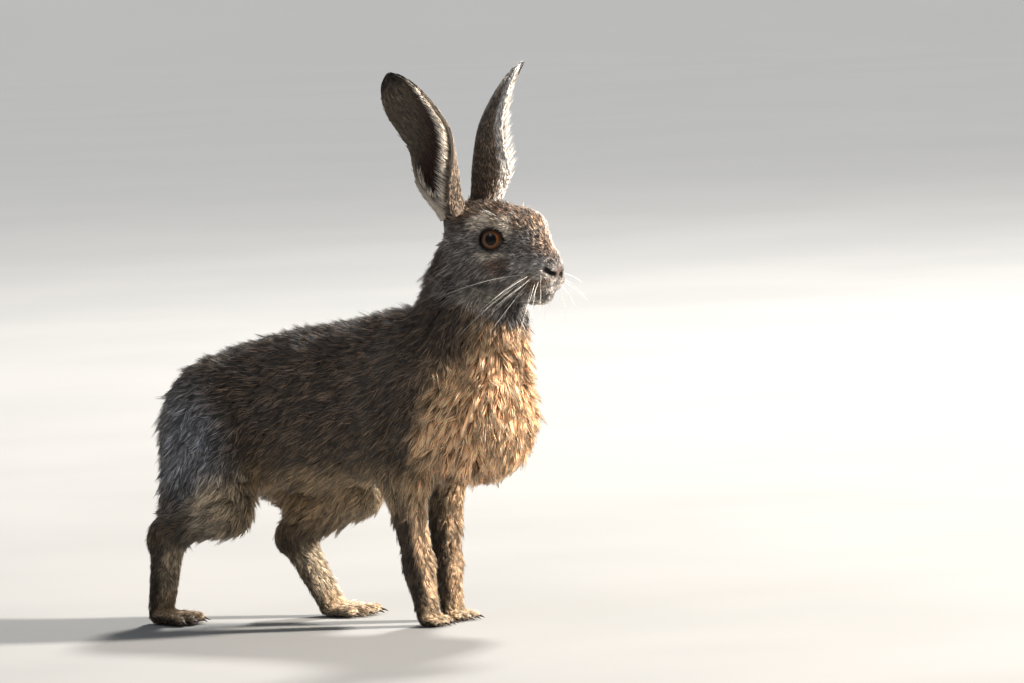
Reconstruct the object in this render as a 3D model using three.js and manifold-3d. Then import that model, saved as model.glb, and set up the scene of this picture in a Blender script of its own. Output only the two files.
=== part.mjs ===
// A young brown hare in mid step, life size, as a still model made of separate body parts.
// Millimetres. +X is the way the trunk faces, +Y the hare's left, +Z up, and the feet stand on z = 0.
import * as THREE from "three";
import { mergeVertices } from "three/addons/utils/BufferGeometryUtils.js";
import Module from "manifold-3d";

const wasm = await Module();
wasm.setup();

// Driving sizes of the animal, over its coat.
const LOIN_HEIGHT = 173; // floor to the top of the back behind the ribs
const CROUP_HEIGHT = 157; // floor to the top of the hips
const WITHERS_HEIGHT = 190; // floor to the top of the shoulders
const BELLY_HEIGHT = 76; // floor to the underside
const CHEST_X = 172; // front of the breast
const TRUNK_HALF_WIDTH = 35;
const HEAD_HALF_WIDTH = 21.5;
const EAR_HALF_WIDTH = 17.5;
const EAR_ROLL = 0.5; // how far the cup is turned back round the ear at its root, in radians
const EYE_RADIUS = 9.4;
const GAP = 0.3; // between two parts that touch

// The joints of the legs. side is -1 on the hare's right and 1 on its left.
const HIND_LEGS = [
  {
    name: "right",
    side: -1,
    hip: at(-42, -20, 118),
    knee: at(-26, -33, 69),
    hock: at(-71, -31, 55),
    heel: at(-78, -31, 50),
    ball: at(-79, -31, 7.5),
    haunch: { x: -48, z: 112, radiusX: 45, radiusZ: 52 },
  },
  {
    name: "left",
    side: 1,
    hip: at(-38, 20, 118),
    knee: at(30, 25, 75),
    hock: at(-19, 27, 49),
    heel: at(-24, 27, 44),
    ball: at(7, 25, 7.5),
    haunch: { x: -28, z: 112, radiusX: 62, radiusZ: 50 },
  },
];
const FORE_LEGS = [
  {
    name: "right",
    side: -1,
    shoulder: at(112, -22, 124),
    elbow: at(93, -23, 90),
    wrist: at(97, -16, 34),
    ball: at(101, -15, 7),
  },
  {
    name: "left",
    side: 1,
    shoulder: at(112, 22, 124),
    elbow: at(93, 23, 90),
    wrist: at(96, 16, 34),
    ball: at(99, 15, 7),
  },
];
const HIND_TOES = { count: 4, length: 27, radius: 4.4, turn: 0.1 };
const FORE_TOES = { count: 4, length: 12, radius: 3.8, turn: 0 };
const CLAW_LENGTH = 4;
const HEAD_CELL = 4.1; // of the grid that the head is netted on

// The head turns a little to the hare's right. Its own frame has x forward, y left and z up, from between the eyes.
const HEAD_PLACE = at(160, -1.5, 228.5);
const HEAD_TURN = THREE.MathUtils.degToRad(-4);
const EYE = at(0, 11.9, 0);
const NOSE_TIP = at(36.4, 0, -17);
const MOUTH_CORNER = at(16, 10, -30.5);
const EAR_ROOT = at(-31, 10, 16);
const EARS = [
  { name: "right", side: -1, tip: at(-51, -42, 100), facing: 1.2 },
  { name: "left", side: 1, tip: at(-12, 39, 102), facing: 0.6 },
];

function at(x, y, z) {
  return new THREE.Vector3(x, y, z);
}

const headMatrix = new THREE.Matrix4().makeRotationZ(HEAD_TURN).setPosition(HEAD_PLACE);

// A place on the head, on the right (-1), in the middle (0) or on the left (1).
function onHead(x, y, z, side = 1) {
  return at(x, y * side, z).applyMatrix4(headMatrix);
}

// Forms of the flesh. Each gives the distance from a point to its surface, less than zero inside it.
// soft is how wide a fillet it makes with the forms before it.
function ellipsoid(centre, radii, soft, pitch = 0) {
  const back = new THREE.Matrix4().makeRotationY(-pitch);
  const q = at(0, 0, 0);
  const distance = (p) => {
    q.copy(p).sub(centre).applyMatrix4(back).divide(radii);
    const level = q.length();
    const slope = q.divide(radii).length();
    return slope === 0 ? -radii.y : (level * (level - 1)) / slope;
  };
  return { distance, soft };
}

function limb(start, end, startRadius, endRadius, soft) {
  const along = end.clone().sub(start);
  const lengthSquared = along.lengthSq();
  const q = at(0, 0, 0);
  const distance = (p) => {
    const reach = q.copy(p).sub(start).dot(along) / lengthSquared;
    const share = THREE.MathUtils.clamp(reach, 0, 1);
    const radius = startRadius + (endRadius - startRadius) * share;
    return q.addScaledVector(along, -share).length() - radius;
  };
  return { distance, soft };
}

// A hollow that is taken out of the forms before it.
function hollow(form) {
  return { ...form, hollow: true };
}

function fleshOf(forms) {
  return (p) => {
    let d = 1000;
    for (const form of forms) {
      const sign = form.hollow ? -1 : 1;
      const [a, b] = [sign * d, form.distance(p)];
      const share = Math.max(form.soft - Math.abs(a - b), 0) / form.soft;
      d = sign * (Math.min(a, b) - (share * share * form.soft) / 4);
    }
    return d;
  };
}

function trunkForms() {
  const mid = (BELLY_HEIGHT + LOIN_HEIGHT) / 2;
  const depth = (LOIN_HEIGHT - BELLY_HEIGHT) / 2;
  const w = TRUNK_HALF_WIDTH;
  return [
    ellipsoid(at(22, 0, mid + 2), at(88, w, depth), 8, -0.05),
    ellipsoid(at(-36, 0, CROUP_HEIGHT - 40), at(46, w + 1, 40), 14),
    limb(at(-52, 0, CROUP_HEIGHT - 22), at(84, 0, WITHERS_HEIGHT - 20), 20, 19, 16),
    ellipsoid(at(88, 0, 130), at(52, w - 1, 49), 14, -0.25),
    ellipsoid(at(CHEST_X - 37, 0, 122), at(36, w - 4, 40), 14, 0.35),
    limb(at(112, 0, 152), at(131, 0, 190), 36, 28.5, 16),
    limb(at(131, 0, 190), at(134, -1, 213), 28.5, 24.5, 10),
    limb(at(148, 0, 156), at(152, 0, 182), 21, 17.5, 14),
  ];
}

function tailForms() {
  return [
    limb(at(-74, 0, 118), at(-85, 0, 92), 11, 9, 8),
    limb(at(-85, 0, 92), at(-87, 0, 70), 9, 6.5, 5),
  ];
}

function hindLegForms({ hip, knee, hock, heel, ball, side }) {
  const ham = at(hip.x - 10, hip.y + side * 3, hip.z - 10);
  return [
    ellipsoid(hip, at(36, 20, 40), 12, 0.15),
    limb(hip, knee, 24, 16, 14),
    limb(ham, at(hock.x + 8, hock.y, hock.z + 18), 20, 13, 14),
    limb(knee, hock, 15, 10.5, 10),
    limb(hock, heel, 8.5, 7.5, 5),
    limb(hock, ball, 10.5, 8.2, 6),
  ];
}

function foreLegForms({ shoulder, elbow, wrist, ball, side }) {
  const blade = at(shoulder.x - 14, side * 22, shoulder.z + 12);
  return [
    ellipsoid(blade, at(26, 15, 42), 16, 0.35),
    limb(shoulder, elbow, 19, 15, 14),
    limb(elbow, wrist, 13, 9, 12),
    limb(wrist, ball, 9, 7.5, 6),
  ];
}

// Where each toe of a foot starts and ends. The toes fan out from the ball and lie along the floor.
function toeLines(leg, { count, length, radius, turn }) {
  const middle = (count - 1) / 2;
  return Array.from({ length: count }, (_, i) => {
    const spread = (i - middle) / middle;
    const heading = turn * leg.side + spread * 0.24;
    const reach = length * (1 - 0.15 * Math.abs(spread) + 0.05 * leg.side * spread);
    const start = at(leg.ball.x, leg.ball.y + spread * radius * 1.5, radius + 0.3);
    const end = at(start.x + reach * Math.cos(heading), start.y + reach * Math.sin(heading), radius - 1.3);
    return { start, end, radius };
  });
}

function toeForms(leg, toes) {
  return toeLines(leg, toes).map(({ start, end, radius }) => limb(start, end, radius, radius - 0.5, 2.5));
}

function headForms() {
  const w = HEAD_HALF_WIDTH;
  const forms = [
    ellipsoid(onHead(-15, 0, 1), at(25, w - 0.5, 22.5), 8),
    ellipsoid(onHead(3.5, 0, 3), at(21.5, w - 3, 16.5), 8),
    limb(onHead(4, 0, -9), onHead(25.5, 0, -18.5), 18, 10.4, 7),
    limb(onHead(12, 0, 3), onHead(27.5, 0, -10.5), 12.5, 6.2, 8),
    limb(onHead(-12, 0, -19), onHead(12, 0, -30), 15.5, 9.5, 8),
    ellipsoid(onHead(21, 0, -32), at(9.5, 7.2, 7.5), 4),
  ];
  for (const side of [-1, 1])
    forms.push(
      ellipsoid(onHead(1, 15, 10, side), at(11, 6, 5.5), 5),
      ellipsoid(onHead(-5, w - 9.5, -13, side), at(19, 10.5, 14), 9),
      ellipsoid(onHead(25.8, 5.2, -23.8, side), at(9.5, 7.2, 7.4), 4),
      limb(onHead(-26, 9, 8, side), onHead(EAR_ROOT.x, EAR_ROOT.y + 1, EAR_ROOT.z + 2, side), 11, 7.5, 8),
      hollow(ellipsoid(onHead(0.5, 22.5, 0, side), at(11, 6.5, 8.6), 3.5)),
    );
  forms.push(ellipsoid(onHead(NOSE_TIP.x - 5, 0, NOSE_TIP.z + 0.5), at(5.5, 5.6, 5), 3));
  return forms;
}

const flesh = fleshOf([
  ...trunkForms(),
  ...tailForms(),
  ...HIND_LEGS.flatMap(hindLegForms),
  ...FORE_LEGS.flatMap(foreLegForms),
  ...HIND_LEGS.flatMap((leg) => toeForms(leg, HIND_TOES)),
  ...FORE_LEGS.flatMap((leg) => toeForms(leg, FORE_TOES)),
  ...headForms(),
]);

function slopeAt(p) {
  const reach = 0.2;
  const value = (x, y, z) => flesh(at(p.x + x, p.y + y, p.z + z));
  return at(
    value(reach, 0, 0) - value(-reach, 0, 0),
    value(0, reach, 0) - value(0, -reach, 0),
    value(0, 0, reach) - value(0, 0, -reach),
  ).divideScalar(2 * reach);
}

// The skin of the flesh inside a box, closed: one vertex in each cell that it crosses, and one quad over
// each crossed edge of the grid. grow moves the skin outwards.
function netFlesh(box, cell, grow = 0) {
  const size = box.getSize(at(0, 0, 0));
  const [nx, ny, nz] = size.toArray().map((s) => Math.ceil(s / cell) + 3);
  const corner = (i, j, k) => at(i - 1, j - 1, k - 1).multiplyScalar(cell).add(box.min);
  const index = (i, j, k) => (k * ny + j) * nx + i;
  const onRim = (i, j, k) => i % (nx - 1) === 0 || j % (ny - 1) === 0 || k % (nz - 1) === 0;
  const level = new Float64Array(nx * ny * nz);
  for (let k = 0; k < nz; k++)
    for (let j = 0; j < ny; j++)
      for (let i = 0; i < nx; i++) level[index(i, j, k)] = onRim(i, j, k) ? cell : flesh(corner(i, j, k)) - grow;

  // The middle of the crossings of a cell's edges, moved onto the skin.
  const cellPoint = (i, j, k) => {
    const sum = at(0, 0, 0);
    let crossings = 0;
    for (let a = 0; a < 8; a++)
      for (const bit of [1, 2, 4]) {
        if (a & bit) continue;
        const ends = [a, a | bit].map((c) => [i + (c & 1), j + ((c >> 1) & 1), k + ((c >> 2) & 1)]);
        const [la, lb] = ends.map((end) => level[index(...end)]);
        if (la < 0 === lb < 0) continue;
        sum.add(corner(...ends[0]).lerp(corner(...ends[1]), la / (la - lb)));
        crossings++;
      }
    const p = sum.divideScalar(crossings);
    const byRim = [i, j, k].includes(0) || i === nx - 2 || j === ny - 2 || k === nz - 2;
    for (let step = 0; step < 3 && !byRim; step++) {
      const slope = slopeAt(p);
      const miss = (grow - flesh(p)) / Math.max(slope.length(), 0.4);
      p.addScaledVector(slope.normalize(), THREE.MathUtils.clamp(miss, -cell / 4, cell / 4));
    }
    return p;
  };
  const points = [];
  const pointIn = new Map();
  const vertex = (i, j, k) => {
    const key = index(i, j, k);
    if (!pointIn.has(key)) {
      pointIn.set(key, points.length);
      points.push(cellPoint(i, j, k));
    }
    return pointIn.get(key);
  };

  const faces = [];
  const axes = [
    [1, 0, 0],
    [0, 1, 0],
    [0, 0, 1],
  ];
  const quad = [
    [0, 0],
    [1, 0],
    [1, 1],
    [0, 1],
  ];
  for (let k = 0; k < nz - 1; k++)
    for (let j = 0; j < ny - 1; j++)
      for (let i = 0; i < nx - 1; i++)
        axes.forEach(([dx, dy, dz], axis) => {
          const inside = level[index(i, j, k)] < 0;
          if (inside === level[index(i + dx, j + dy, k + dz)] < 0) return;
          const [u, v] = [axes[(axis + 1) % 3], axes[(axis + 2) % 3]];
          const ring = quad.map(([m, n]) =>
            vertex(i - m * u[0] - n * v[0], j - m * u[1] - n * v[1], k - m * u[2] - n * v[2]),
          );
          if (!inside) ring.reverse();
          faces.push(...splitQuad(ring, points));
        });
  return geometryFrom(points, faces);
}

// Cuts a quad along its shorter diagonal.
function splitQuad([a, b, c, d], points) {
  const first = points[a].distanceTo(points[c]);
  return first <= points[b].distanceTo(points[d]) ? [a, b, c, a, c, d] : [a, b, d, b, c, d];
}

function geometryFrom(points, faces) {
  const geometry = new THREE.BufferGeometry().setFromPoints(points);
  return geometry.setIndex(faces);
}

// Solids are cut and joined, and become geometry again at the end.
function solidOf(geometry) {
  const bare = geometry.clone();
  bare.deleteAttribute("normal");
  bare.deleteAttribute("uv");
  const merged = mergeVertices(bare, 1e-4);
  const vertProperties = new Float32Array(merged.attributes.position.array);
  const triVerts = new Uint32Array(merged.index.array);
  return new wasm.Manifold(new wasm.Mesh({ numProp: 3, vertProperties, triVerts }));
}

function geometryOf(solid) {
  const { numProp, vertProperties, triVerts } = solid.getMesh();
  const points = [];
  for (let i = 0; i < vertProperties.length; i += numProp) points.push(at(...vertProperties.subarray(i, i + 3)));
  return geometryFrom(points, Array.from(triVerts));
}

function largest(solid) {
  return solid.decompose().reduce((best, piece) => (piece.volume() > best.volume() ? piece : best));
}

// A block that starts at a plane and reaches away along its direction. spare moves every face outwards.
function blockFrom(point, direction, reach, width, height, spare) {
  const block = new THREE.BoxGeometry(width + 2 * spare, height + 2 * spare, reach + 2 * spare);
  block.translate(0, 0, reach / 2);
  block.applyQuaternion(new THREE.Quaternion().setFromUnitVectors(at(0, 0, 1), direction.clone().normalize()));
  return block.translate(point.x, point.y, point.z);
}

// A block along a bone that ends past its far joint.
function boneBlock(start, end, past, width, depth, spare) {
  const along = end.clone().sub(start);
  return blockFrom(start, along, along.length() + past, depth, width, spare);
}

// An upright oval disc on one flank, round a haunch.
function haunchDisc(leg, spare) {
  const reach = 60;
  const innerY = 15;
  const { x, z, radiusX, radiusZ } = leg.haunch;
  const disc = new THREE.CylinderGeometry(1, 1, reach + 2 * spare, 36);
  disc.scale(radiusX + spare, 1, radiusZ + spare);
  return disc.translate(x, leg.side * (innerY + reach / 2), z);
}

function headBlock(spare) {
  return blockFrom(at(141, 0, 199), at(0.45, 0, 0.893), 90, 120, 130, spare);
}

function between(a, b, share) {
  return a.clone().lerp(b, share);
}

// The parts of the body, each with the room that it takes from the ones after it, and its grid's cell.
function bodyRegions() {
  const regions = [];
  const add = (name, cell, room) => regions.push({ name, cell, room });
  for (const leg of HIND_LEGS) {
    const ankle = between(leg.hock, leg.ball, 0.12);
    add(`hind_foot_${leg.name}`, 4.25, (spare) => boneBlock(ankle, leg.ball, 22, 46, 100, spare));
  }
  for (const leg of FORE_LEGS) {
    const pastern = between(leg.wrist, leg.ball, 0.1);
    add(`forepaw_${leg.name}`, 3.7, (spare) => boneBlock(pastern, leg.ball, 20, 29, 60, spare));
  }
  for (const leg of HIND_LEGS) {
    const top = between(leg.knee, leg.hock, leg.side > 0 ? 0.25 : 0.15);
    add(`shank_${leg.name}`, 5.7, (spare) => boneBlock(top, leg.hock, 20, 46, 44, spare));
  }
  for (const leg of FORE_LEGS) {
    const top = between(leg.elbow, leg.wrist, 0.2);
    add(`foreleg_${leg.name}`, 5.2, (spare) => boneBlock(top, leg.wrist, 8, 38, 44, spare));
  }
  for (const leg of HIND_LEGS) add(`thigh_${leg.name}`, 7.4, (spare) => haunchDisc(leg, spare));
  add("tail", 4.6, (spare) => blockFrom(at(-79, 0, 94), at(-1, 0, -0.12), 40, 74, 27, spare));
  add("head", HEAD_CELL, headBlock);
  add("neck", 6.9, (spare) => blockFrom(at(128, 0, 170), at(0.5, 0, 0.866), 50, 120, 130, spare));
  add("torso", 9.7, (spare) => new THREE.BoxGeometry(320, 120, 220).translate(30, 0, 110));
  return regions;
}

function boxOf(geometry) {
  return new THREE.Box3().setFromBufferAttribute(geometry.attributes.position);
}

const FLESH_BOX = new THREE.Box3(at(-110, -60, -6), at(215, 60, 268));

function bodySolids() {
  const solids = {};
  const taken = [];
  const floor = solidOf(new THREE.BoxGeometry(600, 300, 40).translate(50, 0, -20));
  for (const { name, cell, room } of bodyRegions()) {
    const place = room(0);
    const box = boxOf(place).expandByScalar(2 * cell).intersect(FLESH_BOX);
    let solid = solidOf(netFlesh(box, cell)).intersect(solidOf(place)).subtract(floor);
    for (const other of taken) solid = solid.subtract(other);
    solids[name] = largest(solid);
    taken.push(solidOf(room(GAP)));
  }
  return solids;
}

// An ear: a pointed leaf, rolled into a cup round its length, more at its front edge than at its back edge.
// Each ring goes along the back of the leaf from edge to edge and returns along the inside of the cup.
function earGeometry({ side, tip, facing }) {
  const rings = 16;
  const across = 7;
  const root = EAR_ROOT.clone();
  root.y *= side;
  const up = tip.clone().sub(root);
  const length = up.length();
  up.normalize();
  const open = at(Math.cos(facing), side * Math.sin(facing), 0);
  open.addScaledVector(up, -open.dot(up)).normalize();
  const wide = up.clone().cross(open);
  const front = Math.sign(wide.x);
  const points = [];
  for (let i = 0; i <= rings; i++) {
    const u = i / rings;
    const half = EAR_HALF_WIDTH * earWidth(u);
    const roll = THREE.MathUtils.lerp(2.5, 0.95, THREE.MathUtils.smoothstep(u, 0, 0.55));
    const radius = half / Math.sin(Math.min(roll, Math.PI / 2));
    const bow = 5 * Math.sin(Math.PI * u);
    const centre = root.clone().addScaledVector(up, u * length).addScaledVector(open, radius * 0.6 - bow);
    const stem = 1 - THREE.MathUtils.smoothstep(u, 0, 0.22);
    const thick = (THREE.MathUtils.lerp(3.2, 1.4, u) + 5 * stem) * Math.min(1, 0.25 + (1 - u) * 6);
    const lean = front * EAR_ROLL * (1 - THREE.MathUtils.smoothstep(u, 0.3, 0.95));
    const arc = (v, r) => {
      const turn = v * roll + lean;
      const p = centre.clone().addScaledVector(wide, r * Math.sin(turn));
      points.push(p.addScaledVector(open, -r * Math.cos(turn)).applyMatrix4(headMatrix));
    };
    for (let j = 0; j <= across; j++) arc(-1 + (2 * j) / across, radius);
    const inner = Math.max(radius - thick, radius * 0.15);
    for (let j = across; j >= 0; j--) arc((-1 + (2 * j) / across) * 0.94, inner);
  }
  return loft(points, 2 * (across + 1), rings);
}

// Half the width of the ear, as a share of its widest, from the root to the tip.
function earWidth(u) {
  const base = THREE.MathUtils.lerp(0.5, 1, THREE.MathUtils.smoothstep(u, 0, 0.42));
  const past = THREE.MathUtils.clamp((u - 0.42) / 0.58, 0, 1);
  return base * Math.max(Math.sqrt(1 - past ** 2.2), 0.06);
}

// Closes a stack of rings of points into a body.
function loft(points, ringSize, rings) {
  const faces = [];
  for (let i = 0; i < rings; i++)
    for (let j = 0; j < ringSize; j++) {
      const a = i * ringSize + j;
      const b = i * ringSize + ((j + 1) % ringSize);
      faces.push(a, b + ringSize, b, a, a + ringSize, b + ringSize);
    }
  const half = ringSize / 2;
  const cap = (first, flip) => {
    for (let j = 0; j < half - 1; j++) {
      const quad = [first + j, first + ringSize - 1 - j, first + ringSize - 2 - j, first + j + 1];
      if (flip) quad.reverse();
      faces.push(quad[0], quad[1], quad[2], quad[0], quad[2], quad[3]);
    }
  };
  cap(0, true);
  cap(rings * ringSize, false);
  return geometryFrom(points, faces);
}

// Walks from a point inside the flesh to its surface.
function toSurface(inside, direction) {
  const p = inside.clone();
  const step = direction.clone().normalize();
  for (let i = 0; i < 40; i++) p.addScaledVector(step, -flesh(p) * 0.8);
  return p;
}

// A rod of flattened round section along a line of points, closed at both ends.
function rodAlong(path, wide, deep, steps) {
  const section = new THREE.Shape().absellipse(0, 0, wide, deep, 0, 2 * Math.PI);
  const extrudePath = new THREE.CatmullRomCurve3(path);
  return new THREE.ExtrudeGeometry(section, { steps, bevelEnabled: false, curveSegments: 3, extrudePath });
}

// The eye looks sideways, a little forward and up.
function eyeFrame(side) {
  const out = at(0.26, side, 0.1).normalize();
  const along = at(0, 0, 1).cross(out).multiplyScalar(-side).normalize();
  const up = along.clone().cross(out).multiplyScalar(-side).normalize();
  return { centre: at(EYE.x, EYE.y * side, EYE.z), out, along, up };
}

// The lids: a ring round the eyeball, pointed at the front corner.
function lidGeometry(side) {
  const { centre, out, along, up } = eyeFrame(side);
  const around = 18;
  const rim = { across: 8.2, high: 6.3, thick: 1.25 };
  const ring = new THREE.TorusGeometry(1, 0.5, 6, around);
  const position = ring.attributes.position;
  for (let i = 0; i < position.count; i++) {
    const p = at(0, 0, 0).fromBufferAttribute(position, i);
    const angle = Math.atan2(p.y, p.x);
    const swell = (Math.hypot(p.x, p.y) - 1) * 2 * rim.thick;
    const corner = 1 + 0.14 * Math.max(0, Math.cos(angle)) ** 6;
    const x = (rim.across + swell) * corner * Math.cos(angle);
    const y = (rim.high + swell) * Math.sin(angle) - 0.9 * Math.max(0, Math.cos(angle)) ** 2;
    const ball = Math.sqrt((EYE_RADIUS + 0.9) ** 2 - Math.min(x * x + y * y, EYE_RADIUS ** 2));
    const place = centre.clone().addScaledVector(along, x).addScaledVector(up, y);
    place.addScaledVector(out, ball + p.z * 2 * rim.thick - 0.4).applyMatrix4(headMatrix);
    position.setXYZ(i, place.x, place.y, place.z);
  }
  return side > 0 ? ring : flipped(ring);
}

function flipped(geometry) {
  const index = geometry.index.array;
  for (let i = 0; i < index.length; i += 3) [index[i], index[i + 1]] = [index[i + 1], index[i]];
  return geometry;
}

// The line of the mouth on one side, from under the nose back to the corner.
function mouthLine(side) {
  const corner = MOUTH_CORNER;
  const share = [0, 0.2, 0.45, 0.75, 1];
  return share.map((t) => {
    const inside = onHead(THREE.MathUtils.lerp(25, corner.x, t), 3 * side * t, corner.z - 2.4 * t * (1 - t));
    const turn = t * 1.45;
    const forward = onHead(Math.cos(turn), side * Math.sin(turn), -0.25).sub(onHead(0, 0, 0));
    return toSurface(inside, forward);
  });
}

// A slanted slit in one side of the nose, from its upper back end to its lower front end.
function nostrilGeometry(side) {
  const back = onHead(NOSE_TIP.x - 4.4, 6, NOSE_TIP.z - 1.2, side);
  const front = onHead(NOSE_TIP.x - 0.6, 2.8, NOSE_TIP.z - 5.8, side);
  const slit = new THREE.SphereGeometry(1, 10, 7).scale(3.4, 1.3, 1.3);
  const along = front.clone().sub(back).normalize();
  slit.applyQuaternion(new THREE.Quaternion().setFromUnitVectors(at(1, 0, 0), along));
  const outwards = onHead(0.8, 0.6, 0, side).sub(onHead(0, 0, 0));
  const mouth = toSurface(between(back, front, 0.5).addScaledVector(outwards, -4), outwards);
  return slit.translate(mouth.x, mouth.y, mouth.z);
}

// Cuts and lids that make the face: sockets, lid rims, nostrils, the split lip and the line of the mouth.
function faceOn(head) {
  let face = head;
  for (const side of [-1, 1]) face = face.add(solidOf(lidGeometry(side)));
  for (const side of [-1, 1]) {
    face = face.subtract(solidOf(eyeGeometry(side, GAP)));
    face = face.subtract(solidOf(nostrilGeometry(side)));
    face = face.subtract(solidOf(rodAlong(mouthLine(side), 0.8, 0.8, 12)));
  }
  const lipHeights = [NOSE_TIP.z - 6.5, NOSE_TIP.z - 10, MOUTH_CORNER.z - 0.5];
  const forward = onHead(1, 0, -0.2).sub(onHead(0, 0, 0));
  const split = lipHeights.map((z) => toSurface(onHead(24, 0, z), forward));
  return largest(face.subtract(solidOf(rodAlong(split, 0.6, 0.9, 4))));
}

function eyeGeometry(side, spare = 0) {
  const place = onHead(EYE.x, EYE.y, EYE.z, side);
  const ball = new THREE.SphereGeometry(EYE_RADIUS + spare, 18, 11);
  return ball.translate(place.x, place.y, place.z);
}

// Curved claws, each sunk into the end of its toe.
function clawGeometry({ end, start, radius }) {
  const heading = end.clone().sub(start).setZ(0).normalize();
  const base = end.clone().addScaledVector(heading, radius * 0.5);
  base.z = radius + 1;
  const tip = base.clone().addScaledVector(heading, CLAW_LENGTH);
  tip.z = 1;
  const claw = new THREE.ConeGeometry(1.5, base.distanceTo(tip) + 3, 6);
  claw.translate(0, (base.distanceTo(tip) - 3) / 2, 0);
  const turn = new THREE.Quaternion().setFromUnitVectors(at(0, 1, 0), tip.clone().sub(base).normalize());
  claw.applyQuaternion(turn);
  return claw.translate(base.x, base.y, base.z);
}

function withClaws(foot, leg, toes) {
  return largest(toeLines(leg, toes).reduce((solid, toe) => solid.add(solidOf(clawGeometry(toe))), foot));
}

const FINISH = {
  head: { color: 0x7d6b52, roughness: 0.9, metalness: 0 },
  ear: { color: 0x5f5140, roughness: 0.9, metalness: 0 },
  eye: { color: 0x4a2c12, roughness: 0.1, metalness: 0 },
  tail: { color: 0x2c2824, roughness: 0.9, metalness: 0 },
  torso: { color: 0x6e5d48, roughness: 0.9, metalness: 0 },
  neck: { color: 0x8d6c47, roughness: 0.9, metalness: 0 },
  thigh: { color: 0x6b5d4b, roughness: 0.9, metalness: 0 },
  shank: { color: 0x8a6f50, roughness: 0.9, metalness: 0 },
  hind: { color: 0xa98d6d, roughness: 0.9, metalness: 0 },
  foreleg: { color: 0x8f6a43, roughness: 0.9, metalness: 0 },
  forepaw: { color: 0x9a7650, roughness: 0.9, metalness: 0 },
};

function meshOf(name, solid) {
  const mesh = new THREE.Mesh(geometryOf(solid), new THREE.MeshStandardMaterial(FINISH[name.split("_")[0]]));
  mesh.name = name;
  return mesh;
}

const solids = bodySolids();
for (const leg of HIND_LEGS) solids[`hind_foot_${leg.name}`] = withClaws(solids[`hind_foot_${leg.name}`], leg, HIND_TOES);
for (const leg of FORE_LEGS) solids[`forepaw_${leg.name}`] = withClaws(solids[`forepaw_${leg.name}`], leg, FORE_TOES);
solids.head = faceOn(solids.head);
const headRoom = boxOf(headBlock(0)).expandByScalar(2 * HEAD_CELL).intersect(FLESH_BOX);
const headGrown = solidOf(netFlesh(headRoom, HEAD_CELL, GAP));
for (const ear of EARS) solids[`ear_${ear.name}`] = largest(solidOf(earGeometry(ear)).subtract(headGrown));
solids.eye_right = solidOf(eyeGeometry(-1));
solids.eye_left = solidOf(eyeGeometry(1));

const hare = new THREE.Group();
for (const [name, solid] of Object.entries(solids)) hare.add(meshOf(name, solid));
// The origin is on the floor, under the middle of the whole animal.
const middle = new THREE.Box3().setFromObject(hare, true).getCenter(at(0, 0, 0));
hare.position.set(-middle.x, -middle.y, 0);

export default hare;
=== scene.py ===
"""Dresses the solid hare with skin, coat, eyes, claws and whiskers, on a plain pale floor."""
from __future__ import annotations

import logging
import math
from dataclasses import dataclass, field, replace
from enum import Enum

import bpy
import numpy as np
import openvdb
from mathutils import Matrix, Vector
from mathutils.kdtree import KDTree


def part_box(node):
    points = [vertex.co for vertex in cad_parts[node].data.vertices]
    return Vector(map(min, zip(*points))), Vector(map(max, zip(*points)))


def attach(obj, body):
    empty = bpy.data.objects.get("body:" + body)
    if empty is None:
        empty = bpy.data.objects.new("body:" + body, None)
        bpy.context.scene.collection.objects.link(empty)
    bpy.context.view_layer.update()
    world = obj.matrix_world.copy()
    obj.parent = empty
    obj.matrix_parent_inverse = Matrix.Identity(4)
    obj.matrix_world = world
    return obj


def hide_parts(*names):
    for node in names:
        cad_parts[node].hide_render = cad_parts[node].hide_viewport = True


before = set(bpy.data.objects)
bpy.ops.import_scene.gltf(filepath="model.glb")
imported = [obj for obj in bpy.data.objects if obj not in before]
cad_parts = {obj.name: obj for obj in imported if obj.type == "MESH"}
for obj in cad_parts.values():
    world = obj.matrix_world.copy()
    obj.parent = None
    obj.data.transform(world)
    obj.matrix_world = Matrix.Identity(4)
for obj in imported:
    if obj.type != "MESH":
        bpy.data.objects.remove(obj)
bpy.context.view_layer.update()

log = logging.getLogger("hare")
Array = np.ndarray
Colour = tuple[int, int, int]

MM = 0.001
SEED = 41
COAT_PIECE_TRIANGLES = 190000
SHARE_OF_COAT = 0.86

# The head's own frame has x forward, y left and z up, from between the eyes, in millimetres.
HEAD_PLACE = np.array([160.0, -1.5, 228.5])
HEAD_TURN = math.radians(-4)
EYE_RADIUS = 9.4
LID_LIFT = 0.55  # from the eyeball to the middle of the lids


def vec(*values: float) -> Array:
    """A point or direction."""
    return np.array(values, dtype=float)


def smooth(x: Array, low: float, high: float) -> Array:
    """Rises smoothly from 0 at low to 1 at high."""
    t = np.clip((x - low) / (high - low), 0, 1)
    return t * t * (3 - 2 * t)


def unit(v: Array) -> Array:
    """Vectors scaled to length 1."""
    return v / np.maximum(np.linalg.norm(v, axis=-1, keepdims=True), 1e-9)


def tangent(v: Array, normal: Array) -> Array:
    """The part of each vector that lies along the surface, at length 1."""
    return unit(v - normal * np.sum(v * normal, axis=-1, keepdims=True))


def srgb(red: int, green: int, blue: int) -> Array:
    """A colour as it is seen, from 0 to 255, as linear light."""
    c = np.array([red, green, blue]) / 255
    return np.where(c <= 0.04045, c / 12.92, ((c + 0.055) / 1.055) ** 2.4)


def seen(colour: Colour) -> tuple[float, ...]:
    """A colour as it is seen, as linear light for a shader."""
    return tuple(srgb(*colour))


def eye_middle() -> Array:
    """The place halfway between the eyes of the solid model, in millimetres of the row frame."""
    corners = [np.array(corner) for side in ("right", "left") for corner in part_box(f"eye_{side}")]
    return np.mean(corners, axis=0) / MM


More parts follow.
